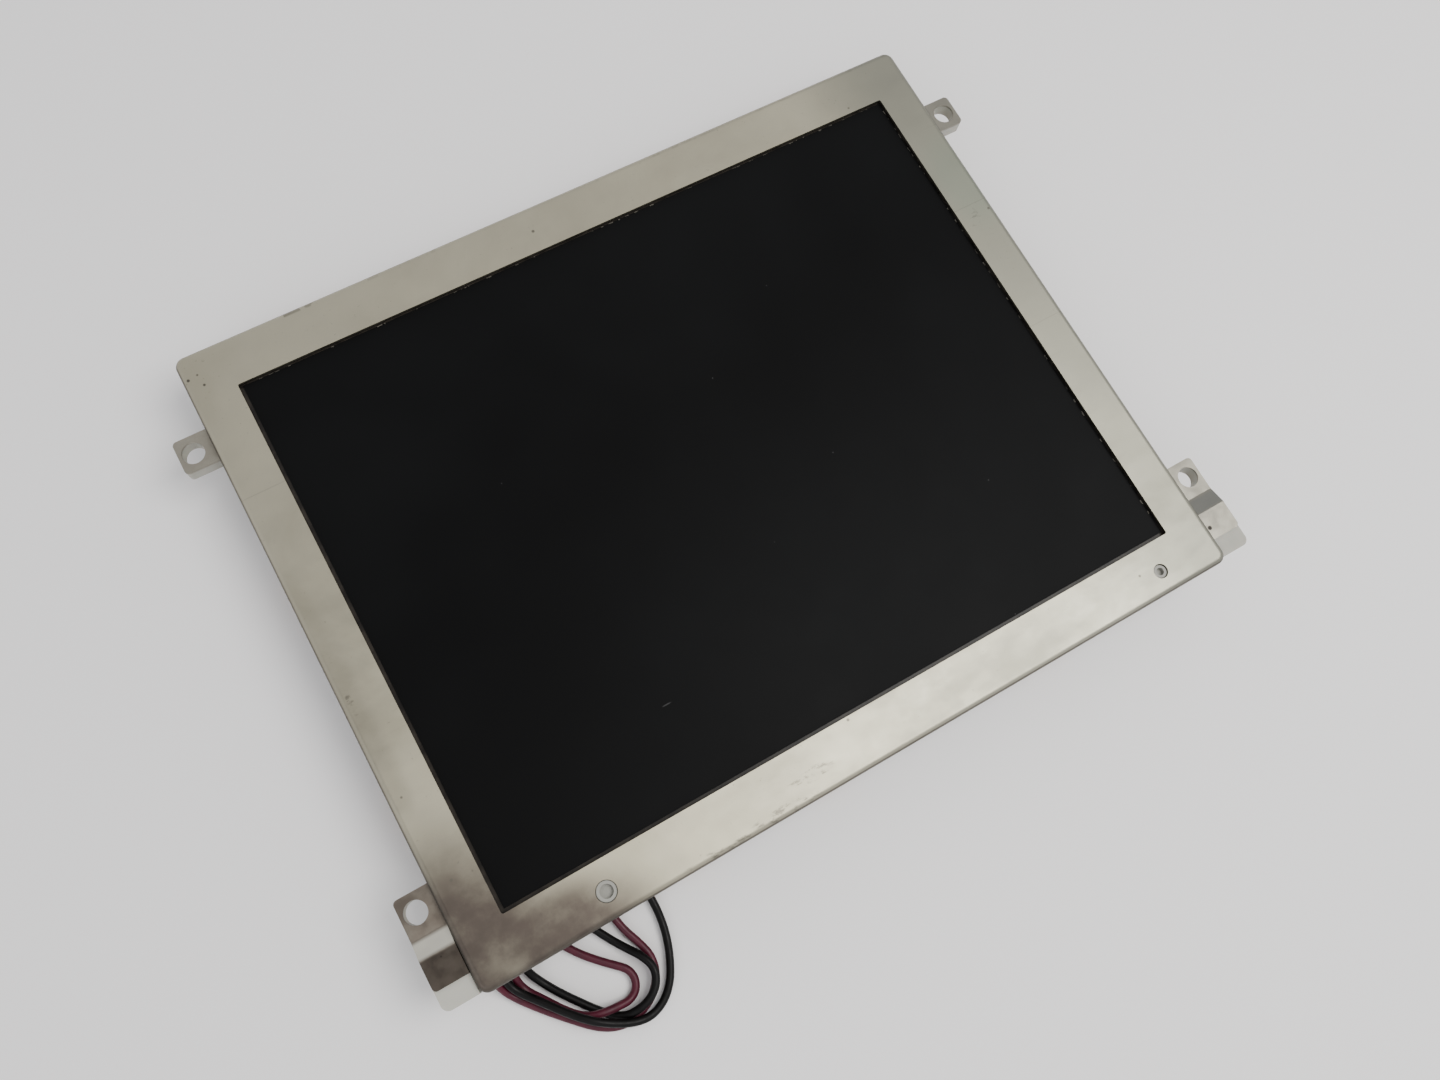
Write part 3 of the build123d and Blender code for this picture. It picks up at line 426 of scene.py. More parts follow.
@dataclass(frozen=True)
class RailSheet(Finish):
    """Bare sheet of the ear rails, darker where it is handled, with painted light and shade on the ramps and
    painted shade on the right rail.
    """

    clean: Colour = (0.39, 0.365, 0.305)
    dull: Colour = (0.26, 0.24, 0.20)
    handled: Colour = (0.19, 0.16, 0.132)
    strap: Colour = (0.068, 0.056, 0.047)

    def build(self, graph: Graph) -> None:
        """Patches and fine grain, with the ears of the lead corner browned, a painted highlight on the left
        ramp and painted shade on the right ramp and the right rail.

        Args:
            graph: the finish's nodes.
        """
        patch = graph.remap(graph.noise(5, 4, 0.6), 0.35, 0.7)
        colour = graph.blend(graph.math("MULTIPLY", patch, 0.6), self.clean, self.dull)
        left = graph.remap(graph.along(Axis.X), -0.001, 0.001, 1.0, 0.0)
        right = graph.math("SUBTRACT", 1.0, left)
        # Painted shade: the whole right rail is darkened towards grey.
        colour = graph.blend(graph.math("MULTIPLY", right, 0.6), colour, (0.205, 0.20, 0.17))
        ear = graph.math("MULTIPLY", left, graph.strip(Axis.Y, -60, -34.5, 0.4))
        ear = graph.math("MULTIPLY", ear, graph.remap(graph.noise(3, 4, 0.6), 0.25, 0.6, 0.6, 0.97))
        colour = graph.blend(ear, colour, self.handled)
        high = graph.math("MULTIPLY", left, graph.strip(Axis.Y, -60, -44.8, 0.3))
        colour = graph.blend(graph.math("MULTIPLY", high, 0.85), colour, self.strap)
        # Painted highlight: the left rail's sloped ramp is lightened where it faces the light.
        ramp = graph.math("MULTIPLY", left, graph.strip(Axis.Y, -44.6, -42.2, 0.35))
        colour = graph.blend(ramp, colour, (0.66, 0.635, 0.55))
        # Painted shade: the right rail's sloped ramp is darkened where it faces away from the light.
        shade = graph.math("MULTIPLY", right, graph.strip(Axis.Y, -44.6, -42.2, 0.35))
        colour = graph.blend(graph.math("MULTIPLY", shade, 0.5), colour, (0.17, 0.18, 0.18))
        specks = graph.remap(graph.cells(4.1), 0.02, 0.04, 0.8, 0.0)
        pit = graph.most(graph.blot(66.9, -47.4, 0.45, 0.45), specks)
        graph.set(Base_Color=graph.blend(pit, colour, (0.03, 0.028, 0.025)), Metallic=1.0)
        graph.set(Roughness=graph.remap(graph.noise(2.5, 4), 0.3, 0.7, 0.34, 0.52))
        graph.relief(graph.noise(0.3, 2, stretch=(1, 0.06, 1)), 0.005, 0.5)


@dataclass(frozen=True)
class ScreenFilm(Finish):
    """Anti-glare polarising film, near black, with dust and a few hairline scratches."""

    dark: Colour = (0.0026, 0.0026, 0.0028)
    haze: Colour = (0.0048, 0.0050, 0.0053)
    mark: Colour = (0.13, 0.13, 0.13)

    def build(self, graph: Graph) -> None:
        """A broad haze, dust specks, hairlines and a very fine matt tooth.

        Args:
            graph: the finish's nodes.
        """
        colour = graph.blend(graph.remap(graph.noise(55, 3), 0.3, 0.75), self.dark, self.haze)
        dust = graph.math("MULTIPLY", graph.remap(graph.cells(4.2), 0.020, 0.032, 1, 0),
                          graph.remap(graph.noise(20, 2), 0.52, 0.6))
        hair = graph.remap(graph.noise(6, 2, stretch=(0.04, 3.2, 1), turn=28), 0.76, 0.80)
        hair = graph.math("MULTIPLY", hair, 0.18)
        nick = graph.blot(-24.6, -30.0, 0.9, 0.12, 30)
        marks = graph.math("MULTIPLY", graph.most(dust, hair, nick), 0.28)
        colour = graph.blend(marks, colour, self.mark)
        graph.set(Base_Color=colour, Roughness=graph.remap(graph.noise(30, 4), 0.3, 0.7, 0.44, 0.52))
        graph.set(Specular_IOR_Level=0.07)
        graph.relief(graph.noise(0.12, 2), 0.002, 0.4)


@dataclass(frozen=True)
class PanelGlass(Finish):
    """Glass edge that shows grey-brown beside the film."""

    tone: Colour = (0.040, 0.034, 0.028)

    def build(self, graph: Graph) -> None:
        """Painted grey-brown reflection on the glass edge, patchy along its length."""
        # Painted reflection: the grey-brown tone stands in for what the clear glass edge reflects in the gap
        # beside the film.
        patch = graph.remap(graph.noise(3, 4), 0.3, 0.7)
        graph.set(Base_Color=graph.blend(patch, self.tone, (0.014, 0.012, 0.011)), Roughness=0.3)
        graph.set(Specular_IOR_Level=0.2)


@dataclass(frozen=True)
class MouldedPlastic(Finish):
    """Moulded plastic with a fine spark-eroded tooth, flow clouds and grime in scattered patches."""

    tone: Colour = (0.66, 0.65, 0.60)
    shade: Colour = (0.52, 0.50, 0.44)
    rough: float = 0.5
    tooth_mm: float = 0.25
    glow: float = 0.0

    def build(self, graph: Graph) -> None:
        """Clouds in the colour, a matt tooth in the relief.

        Args:
            graph: the finish's nodes.
        """
        cloud = graph.remap(graph.noise(12, 4, 0.6, warp=0.4), 0.3, 0.75)
        grime = graph.math("MULTIPLY", graph.remap(graph.noise(1.6, 5, 0.7), 0.6, 0.75), 0.4)
        colour = graph.blend(cloud, self.tone, self.shade)
        graph.set(Base_Color=graph.blend(grime, colour, tuple(c * 0.55 for c in self.shade)))
        graph.set(Roughness=graph.remap(graph.noise(4, 3), 0.3, 0.7, self.rough - 0.06, self.rough + 0.08))
        if self.glow:
            graph.set(Subsurface_Weight=self.glow, Subsurface_Scale=0.0015)
        graph.relief(graph.noise(self.tooth_mm, 2), 0.008, 0.5)


@dataclass(frozen=True)
class Sleeve(Finish):
    """Soft insulation of a lamp lead."""

    tone: Colour = (0.080, 0.0085, 0.022)
    shade: Colour = (0.048, 0.0055, 0.014)
    rough: float = 0.42
    shine: float = 0.3

    def build(self, graph: Graph) -> None:
        """Mottled colour, rub marks and a faint orange peel.

        Args:
            graph: the finish's nodes.
        """
        cloud = graph.remap(graph.noise(2.4, 4), 0.3, 0.7)
        rub = graph.math("MULTIPLY", graph.remap(graph.noise(1.2, 4, 0.7), 0.6, 0.72), 0.3)
        colour = graph.blend(cloud, self.tone, self.shade)
        graph.set(Base_Color=graph.blend(rub, colour, tuple(min(1.0, c * 1.8 + 0.004) for c in self.tone)))
        graph.set(Roughness=graph.remap(graph.noise(0.8, 3), 0.3, 0.7, self.rough - 0.07, self.rough + 0.1))
        graph.set(Specular_IOR_Level=self.shine)
        graph.relief(graph.noise(0.22, 2), 0.006, 0.6)


@dataclass(frozen=True)
class BoardResin(Finish):
    """Printed board: solder resist over copper tracks, with plated vias."""

    resist: Colour = (0.018, 0.085, 0.040)
    over_copper: Colour = (0.040, 0.165, 0.070)
    plating: Colour = (0.62, 0.50, 0.26)
    pitch_mm: float = 1.3

    def build(self, graph: Graph) -> None:
        """Tracks in short runs either way, vias on a loose grid and a ground pour.

        Args:
            graph: the finish's nodes.
        """
        pitch = self.pitch_mm
        across = graph.noise(pitch, 0.5, 0.3, stretch=(0.07, 1.0, 1))
        upward = graph.noise(pitch, 0.5, 0.3, stretch=(1.0, 0.07, 1))
        area = graph.remap(graph.cells(11, output="Color"), 0.48, 0.52)
        lines = graph.blend(area, graph.remap(across, 0.49, 0.53), graph.remap(upward, 0.49, 0.53))
        pour = graph.remap(graph.noise(17, 1), 0.55, 0.57)
        copper = graph.most(lines, pour)
        colour = graph.blend(copper, self.resist, self.over_copper)
        via = graph.remap(graph.cells(2.4), 0.085, 0.105, 1, 0)
        hole = graph.remap(graph.cells(2.4), 0.035, 0.05, 1, 0)
        colour = graph.blend(via, colour, self.plating)
        colour = graph.blend(hole, colour, (0.01, 0.01, 0.01))
        graph.set(Base_Color=colour, Metallic=graph.math("SUBTRACT", via, hole))
        graph.set(Roughness=graph.remap(graph.noise(3, 3), 0.3, 0.7, 0.26, 0.4))
        graph.relief(copper, 0.03, 0.5)


@dataclass(frozen=True)
class PlainMetal(Finish):
    """Plated or tinned small metal with clouds and fine scratches."""

    tone: Colour = (0.72, 0.71, 0.68)
    shade: Colour = (0.50, 0.49, 0.46)
    rough: float = 0.3
    grain: Place = (1, 1, 1)

    def build(self, graph: Graph) -> None:
        """Spangle in the colour and streaks in the relief.

        Args:
            graph: the finish's nodes.
        """
        cloud = graph.remap(graph.noise(5, 5, 0.65, warp=0.8), 0.3, 0.72)
        spot = graph.math("MULTIPLY", graph.remap(graph.noise(0.9, 4), 0.62, 0.72), 0.5)
        colour = graph.blend(cloud, self.tone, self.shade)
        graph.set(Base_Color=graph.blend(spot, colour, tuple(c * 0.5 for c in self.shade)), Metallic=1.0)
        graph.set(Roughness=graph.remap(graph.noise(2, 4), 0.3, 0.7, self.rough - 0.07, self.rough + 0.1))
        graph.relief(graph.noise(0.3, 3, stretch=self.grain), 0.006, 0.5)


@dataclass(frozen=True)
class DriverFilm(Finish):
    """Amber polyimide film with rows of fine copper tracks along Z and Y."""

    amber: Colour = (0.42, 0.20, 0.035)
    track: Colour = (0.25, 0.115, 0.03)

    def build(self, graph: Graph) -> None:
        """Tracks at a fine pitch across X, over the amber base.

        Args:
            graph: the finish's nodes.
        """
        wave = graph.node("TexWave", wave_type="BANDS", bands_direction="X", wave_profile="SIN")
        graph.feed(wave.inputs["Vector"], graph.mapped())
        wave.inputs["Scale"].default_value = 700.0
        lines = graph.remap(wave.outputs["Fac"], 0.4, 0.6)
        colour = graph.blend(lines, self.amber, self.track)
        cloud = graph.math("MULTIPLY", graph.remap(graph.noise(4, 3), 0.3, 0.7), 0.3)
        graph.set(Base_Color=graph.blend(cloud, colour, (0.16, 0.07, 0.02)), Roughness=0.28)
        graph.relief(lines, 0.01, 0.4)


@dataclass(frozen=True)
class AmberTape(Finish):
    """Thin amber tape with a crinkled surface."""

    amber: Colour = (0.55, 0.30, 0.055)

    def build(self, graph: Graph) -> None:
        """Uneven amber with lifted creases."""
        cloud = graph.remap(graph.noise(3, 4, warp=0.8), 0.3, 0.7)
        graph.set(Base_Color=graph.blend(cloud, self.amber, (0.36, 0.18, 0.03)), Roughness=0.24)
        graph.relief(graph.noise(1.3, 3, stretch=(1, 0.5, 1), warp=0.5), 0.05, 0.5)


@dataclass(frozen=True)
class Ceramic(Finish):
    """Fired ceramic body with grainy colour."""

    tone: Colour = (0.42, 0.31, 0.20)

    def build(self, graph: Graph) -> None:
        """Speckle and a slight grain."""
        speckle = graph.remap(graph.noise(0.25, 3), 0.35, 0.65)
        grain = tuple(c * 0.75 for c in self.tone)
        graph.set(Base_Color=graph.blend(speckle, self.tone, grain), Roughness=0.45)
        graph.relief(graph.noise(0.2, 2), 0.006, 0.5)


@dataclass(frozen=True)
class LampGlass(Finish):
    """Phosphor-coated lamp glass, milky white with grey ends."""

    def build(self, graph: Graph) -> None:
        """Even white with the electrode ends darkened.

        Args:
            graph: the finish's nodes.
        """
        ends = graph.remap(graph.math("ABSOLUTE", graph.along(Axis.X)), 0.0555, 0.058)
        cloud = graph.math("MULTIPLY", graph.noise(6, 3), 0.15)
        tone = graph.blend(cloud, (0.86, 0.86, 0.82), (0.70, 0.70, 0.66))
        graph.set(Base_Color=graph.blend(ends, tone, (0.22, 0.22, 0.22)), Roughness=0.12)
        graph.set(Coat_Weight=1.0, Coat_Roughness=0.03)


@dataclass(frozen=True)
class GuidePlate(Finish):
    """Light guide with a printed dot pattern."""

    def build(self, graph: Graph) -> None:
        """White dots in clear plate."""
        dots = graph.remap(graph.cells(1.2, loose=0.0), 0.28, 0.36, 1, 0)
        graph.set(Base_Color=graph.blend(dots, (0.70, 0.73, 0.74), (0.92, 0.92, 0.90)))
        graph.set(Roughness=graph.remap(dots, 0, 1, 0.08, 0.5))
        graph.set(Coat_Weight=0.5, Coat_Roughness=0.04)


@dataclass(frozen=True)
class PaleFloor(Finish):
    """Plain pale bench top."""

    tone: Colour = (0.95, 0.935, 0.94)

    def build(self, graph: Graph) -> None:
        """Barely uneven, softly matt."""
        cloud = graph.math("MULTIPLY", graph.noise(60, 3), 0.12)
        graph.set(Base_Color=graph.blend(cloud, self.tone, (0.90, 0.885, 0.89)), Roughness=0.62)
        graph.relief(graph.noise(0.9, 3), 0.02, 0.15)


class Finishes:
    """Every finish used on the module."""

    bezel = BezelSheet("bezel_sheet")
    rail = RailSheet("rail_sheet")
    screen = ScreenFilm("screen_film")
    glass = PanelGlass("panel_glass")
    tray = MouldedPlastic("tray_plastic", (0.48, 0.47, 0.415), (0.36, 0.35, 0.30), glow=0.06)
    frame_ring = MouldedPlastic("frame_plastic", (0.36, 0.355, 0.32), (0.27, 0.265, 0.235))
    foam = MouldedPlastic("gasket_foam", (0.03, 0.03, 0.03), (0.018, 0.018, 0.018), 0.85, 0.5)
    chip = MouldedPlastic("chip_resin", (0.022, 0.022, 0.024), (0.014, 0.014, 0.015), 0.5, 0.12)
    die = MouldedPlastic("driver_die", (0.03, 0.03, 0.034), (0.02, 0.02, 0.024), 0.15, 0.6)
    socket = MouldedPlastic("socket_plastic", (0.66, 0.60, 0.46), (0.55, 0.49, 0.36), 0.45)
    lock = MouldedPlastic("lock_plastic", (0.16, 0.11, 0.075), (0.11, 0.075, 0.05), 0.45)
    plug = MouldedPlastic("plug_plastic", (0.72, 0.71, 0.66), (0.62, 0.60, 0.54), 0.42)
    trimmer = MouldedPlastic("trimmer_plastic", (0.035, 0.07, 0.17), (0.025, 0.05, 0.13), 0.42)
    silicone = MouldedPlastic("silicone_rubber", (0.55, 0.54, 0.50), (0.45, 0.44, 0.40), 0.6, 0.4)
    white = MouldedPlastic("white_film", (0.86, 0.86, 0.85), (0.80, 0.80, 0.79), 0.55)
    pink = Sleeve("pink_sleeve")
    flake = MouldedPlastic("old_adhesive", (0.105, 0.096, 0.078), (0.05, 0.045, 0.037), 0.6, 0.1)
    black = Sleeve("black_sleeve", (0.0048, 0.0044, 0.0044), (0.0032, 0.003, 0.003), 0.42, 0.16)
    board = BoardResin("board_resin")
    can = PlainMetal("can_tin", grain=(0.08, 1, 1))
    zinc = PlainMetal("screw_zinc", (0.70, 0.69, 0.66), (0.52, 0.51, 0.48), 0.28)
    tin = PlainMetal("contact_tin", (0.76, 0.75, 0.73), (0.60, 0.59, 0.57), 0.24)
    solder = PlainMetal("solder", (0.70, 0.70, 0.71), (0.55, 0.55, 0.56), 0.2)
    brass = PlainMetal("rotor_brass", (0.72, 0.60, 0.34), (0.55, 0.44, 0.24), 0.3)
    silver = PlainMetal("mirror_sheet", (0.88, 0.89, 0.90), (0.80, 0.81, 0.82), 0.12)
    film = DriverFilm("driver_film")
    tape = AmberTape("amber_tape")
    ceramic = Ceramic("capacitor_ceramic")
    coil = MouldedPlastic("coil_ferrite", (0.055, 0.053, 0.05), (0.04, 0.038, 0.036), 0.6, 0.3)
    lamp = LampGlass("lamp_glass")
    guide = GuidePlate("guide_plate")
    floor = PaleFloor("pale_floor")


def solids_of(name: str) -> list[tuple[Vector, Vector]]:
    """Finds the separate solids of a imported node.

    Args:
        name: the node.

    Returns:
        Each solid's lowest and highest corner, sorted by place.
    """
    work = bmesh.new()
    work.from_mesh(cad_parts[name].data)
    bmesh.ops.remove_doubles(work, verts=work.verts, dist=1e-7)
    work.verts.ensure_lookup_table()
    seen: set[int] = set()
    boxes = []
    for start in work.verts:
        if start.index in seen:
            continue
        seen.add(start.index)
        island, queue = [], [start]
        while queue:
            vertex = queue.pop()
            island.append(vertex.co.copy())
            for edge in vertex.link_edges:
                other = edge.other_vert(vertex)
                if other.index not in seen:
                    seen.add(other.index)
                    queue.append(other)
        low = Vector([min(p[i] for p in island) for i in range(3)])
        high = Vector([max(p[i] for p in island) for i in range(3)])
        boxes.append((low, high))
    work.free()
    return sorted(boxes, key=lambda pair: tuple(round(c, 5) for c in pair[0]))


class Pieces:
    """Collects small blocks and slivers into one mesh that rides on the module."""

    def __init__(self, name: str, finish: Finish) -> None:
        """Starts an empty mesh of that name and finish."""
        self.name = name
        self.finish = finish
        self.points: list[Place] = []
        self.faces: list[tuple[int, ...]] = []

    def block(self, low: Place, high: Place, taper: float = 0.0, toward: int = 0) -> None:
        """Adds a box.

        Args:
            low: its lowest corner, in metres.
            high: its highest corner, in metres.
            taper: how far the rear face is drawn in along the toward axis, for a solder fillet.
            toward: 1 or -1 for the X side, 2 or -2 for the Y side, that is drawn in.
        """
        first = len(self.points)
        for z in (low[2], high[2]):
            for x, y in ((low[0], low[1]), (high[0], low[1]), (high[0], high[1]), (low[0], high[1])):
                if z == low[2] and toward:
                    x = x - taper if toward == 1 and x == high[0] else x
                    x = x + taper if toward == -1 and x == low[0] else x
                    y = y - taper if toward == 2 and y == high[1] else y
                    y = y + taper if toward == -2 and y == low[1] else y
                self.points.append((x, y, z))
        for face in ((3, 2, 1, 0), (4, 5, 6, 7), (0, 1, 5, 4), (1, 2, 6, 5), (2, 3, 7, 6), (3, 0, 4, 7)):
            self.faces.append(tuple(first + i for i in face))

    def sliver(self, outline: list[tuple[float, float]], low_z: float, high_z: float) -> None:
        """Adds a thin flat flake of any outline.

        Args:
            outline: its corners in X and Y, in order.
            low_z: its underside.
            high_z: its top.
        """
        first, count = len(self.points), len(outline)
        self.points += [(x, y, low_z) for x, y in outline] + [(x, y, high_z) for x, y in outline]
        self.faces.append(tuple(first + i for i in reversed(range(count))))
        self.faces.append(tuple(first + count + i for i in range(count)))
        for i in range(count):
            after = (i + 1) % count
            self.faces.append((first + i, first + after, first + count + after, first + count + i))

    def build(self) -> bpy.types.Object:
        """Makes the mesh, dresses it and fixes it to the module.

        Returns:
            The new piece.
        """
        mesh = bpy.data.meshes.new(self.name)
        mesh.from_pydata(self.points, [], self.faces)
        mesh.materials.append(self.finish.material())
        made = bpy.data.objects.new(self.name, mesh)
        bpy.context.scene.collection.objects.link(made)
        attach(made, MODULE)
        LOG.info("made %s with %d faces", self.name, len(self.faces))
        return made


class LeadColour(Enum):
    """Which sleeve a lamp lead has."""

    PINK = "pink"
    BLACK = "black"


@dataclass(frozen=True)
class Lead:
    """One lamp lead: its route, its length, its sleeve and the plug that it ends in."""

    node: str
    colour: LeadColour
    length: float
    plug: int
    route_mm: tuple[Place, ...]

    def build(self) -> bpy.types.Object:
        """Returns:
            The lead.
        """
        data = bpy.data.curves.new(self.node + "_sleeve", "CURVE")
        data.dimensions = "3D"
        data.bevel_depth = LampLeads.diameter / 2
        data.bevel_resolution = 5
        data.resolution_u = 10
        data.use_fill_caps = True
        spline = data.splines.new("NURBS")
        spline.points.add(len(self.route_mm) - 1)
        for point, place in zip(spline.points, self.route_mm):
            point.co = (*(c * MM for c in place), 1.0)
        spline.order_u = 3
        spline.use_endpoint_u = True
        lead = bpy.data.objects.new(self.node + "_sleeve", data)
        bpy.context.scene.collection.objects.link(lead)
        finish = Finishes.pink if self.colour is LeadColour.PINK else Finishes.black
        data.materials.append(finish.material())
        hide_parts(self.node)
        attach(lead, MODULE)
        LOG.info("lead %s, %.0f mm", self.node, self.length * 1000)
        return lead


@dataclass
class LampLeads:
    """The four lamp leads that loop out over the bench and come back to their plugs."""

    diameter: float = 0.00125
    leads: tuple[Lead, ...] = (
        Lead("lead_pink_1", LeadColour.PINK, 0.048, 1, (
            (-61.9, -49.2, 3.3), (-61.9, -51.2, 3.3), (-62.3, -53.3, 2.0), (-62.0, -55.6, 0.7),
            (-60.2, -58.05, 1.1), (-57.6, -61.75, 1.55), (-55.4, -63.6, 2.1), (-53.0, -64.2, 2.3),
            (-51.0, -64.5, 1.5), (-49.2, -64.7, 0.8), (-47.7, -63.9, 0.66), (-47.0, -62.3, 0.66),
            (-47.4, -60.6, 0.66), (-49.0, -59.1, 0.66), (-50.8, -57.3, 0.66), (-52.5, -55.4, 0.66),
            (-54.3, -52.8, 0.7), (-55.8, -50.3, 1.05), (-56.7, -48.3, 1.5), (-56.9, -46.2, 1.6),
            (-56.9, -44.9, 1.6))),
        Lead("lead_black_1", LeadColour.BLACK, 0.049, 1, (
            (-60.4, -49.2, 3.3), (-60.4, -51.2, 3.3), (-60.4, -53.3, 2.0), (-59.4, -55.8, 0.66),
            (-57.6, -58.7, 0.66), (-55.0, -62.2, 0.66), (-52.7, -65.0, 0.66), (-50.8, -66.25, 1.3),
            (-48.7, -66.4, 1.98), (-46.4, -65.9, 1.98), (-44.6, -64.5, 1.98), (-43.8, -62.3, 1.96),
            (-44.7, -60.0, 1.75), (-46.4, -57.7, 0.9), (-48.0, -55.2, 0.66), (-49.6, -52.2, 0.85),
            (-51.0, -49.4, 1.35), (-51.5, -47.0, 1.6), (-51.5, -44.9, 1.6))),
        Lead("lead_pink_2", LeadColour.PINK, 0.052, 2, (
            (-64.9, -49.2, 3.3), (-64.9, -51.2, 3.3), (-64.9, -53.2, 2.0), (-63.9, -55.6, 0.66),
            (-61.3, -58.9, 0.66), (-58.2, -62.4, 0.66), (-54.8, -65.9, 0.66), (-51.6, -67.4, 0.66),
            (-48.5, -67.1, 0.66), (-45.8, -65.7, 0.66), (-44.0, -63.5, 0.66), (-43.4, -60.8, 0.66),
            (-44.2, -58.1, 0.66), (-45.3, -55.4, 0.66), (-45.9, -52.4, 0.8), (-46.1, -49.5, 1.35),
            (-46.0, -47.0, 1.6), (-46.0, -44.9, 1.6))),
        Lead("lead_black_2", LeadColour.BLACK, 0.054, 2, (
            (-63.4, -49.2, 3.3), (-63.4, -51.2, 3.3), (-63.6, -53.2, 2.7), (-62.8, -55.4, 2.05),
            (-60.4, -58.3, 2.4), (-57.5, -61.9, 2.9), (-55.1, -64.3, 3.4), (-52.7, -66.1, 3.0),
            (-50.1, -67.6, 2.0), (-47.5, -68.2, 1.3), (-44.9, -67.4, 0.66), (-42.8, -65.5, 0.66),
            (-41.3, -62.8, 0.66), (-40.2, -59.8, 0.66), (-39.6, -56.7, 0.66), (-39.5, -53.5, 0.66),
            (-39.9, -50.4, 1.05), (-40.5, -47.3, 1.6), (-40.6, -44.9, 1.6))),
    )

    def build(self) -> None:
        """Makes every lead, then dresses the plugs, their contacts and the grommet."""
        for lead in self.leads:
            lead.build()
        Finishes.plug.dress("lead_connector_1", "lead_connector_2")
        Finishes.tin.dress("lead_contacts_1", "lead_contacts_2")
        Finishes.silicone.dress("lead_grommet")


@dataclass
class FrontShell:
    """The pressed bezel, the ear rails and the foam strip under the bezel."""

    def build(self) -> None:
        """Dresses the shell's nodes."""
        Finishes.bezel.dress("front_bezel")
        Finishes.rail.dress("ear_rail_left", "ear_rail_right")
        Finishes.foam.dress("bezel_gasket")


@dataclass
class PanelStack:
    """The screen's film and glass, and what drives the glass."""

    seed: int = 7
    share: float = 0.45
    thick_mm: float = 0.05
    end_margin_mm: float = 2
    length_mm: tuple[float, float] = (0.15, 0.9)
    depth_mm: tuple[float, float] = (0.05, 0.22)
    gap_mm: tuple[float, float] = (0.1, 2.2)
    corners: int = 4

    def build(self) -> None:
        """Dresses the stack's nodes."""
        Finishes.screen.dress("front_polarizer", "rear_polarizer")
        Finishes.glass.dress("colour_filter_glass", "tft_array_glass")
        Finishes.frame_ring.dress("panel_frame")
        Finishes.die.dress("gate_driver_chips", "source_driver_chips")
        Finishes.film.dress("gate_flex", *(f"source_film_{i}" for i in range(1, 5)))
        self._flakes()

    def _flakes(self) -> None:
        """Pale flakes of old adhesive that cling to the film's edge along two sides of the window."""
        draw = random.Random(self.seed)
        low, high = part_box("front_polarizer")
        top = high[2]
        flakes = Pieces("edge_flakes", Finishes.flake)
        for side in (Axis.X, Axis.Y):
            start, stop = (low[0], high[0]) if side is Axis.X else (low[1], high[1])
            spot = start + self.end_margin_mm * MM
            while spot < stop - self.end_margin_mm * MM:
                length = draw.uniform(*self.length_mm) * MM
                depth = draw.uniform(*self.depth_mm) * MM
                if draw.random() < self.share:
                    outline = self._outline(draw, side, spot, length, depth, high)
                    flakes.sliver(outline, top, top + self.thick_mm * MM)
                spot += length + draw.uniform(*self.gap_mm) * MM
        flakes.build()

    def _outline(self, draw: random.Random, side: Axis, spot: float, length: float, depth: float,
                 high: Vector) -> list[tuple[float, float]]:
        """A ragged outline against the film's far edge.

        Args:
            draw: the seeded random source.
            side: the axis the edge runs along.
            spot: where the flake starts.
            length: how long it is.
            depth: how far it reaches in over the film.
            high: the film's highest corner.

        Returns:
            Its corners, anticlockwise.
        """
        steps = [i / self.corners for i in range(self.corners + 1)]
        inner = [(spot + length * t, depth * draw.uniform(0.35, 1.0)) for t in steps]
        outer = [(spot + length, 0.0), (spot, 0.0)]
        if side is Axis.X:
            return [(u, high[1] - v) for u, v in inner + outer]
        return [(high[0] - v, u) for u, v in reversed(inner + outer)]


@dataclass
class BacklightTray:
    """The moulded tray with its lamps, mirrors, films and wires."""

    def build(self) -> None:
        """Dresses the tray and what lies in it and on its back."""
        Finishes.tray.dress("backlight_chassis")
        Finishes.guide.dress("light_guide")
        Finishes.white.dress("reflector_sheet", "upper_diffuser", "lower_diffuser", "prism_film")
        Finishes.lamp.dress("lamp_tube_lower", "lamp_tube_upper")
        Finishes.silver.dress("lamp_reflector_lower", "lamp_reflector_upper")
        Finishes.silicone.dress("lamp_boot_lower_left", "lamp_boot_lower_right",
                                "lamp_boot_upper_left", "lamp_boot_upper_right")
        Finishes.pink.dress("upper_hot_wire", "lower_hot_wire")
        Finishes.black.dress("upper_return_wire", "lower_return_wire")
        Finishes.tape.dress("tape_strips")


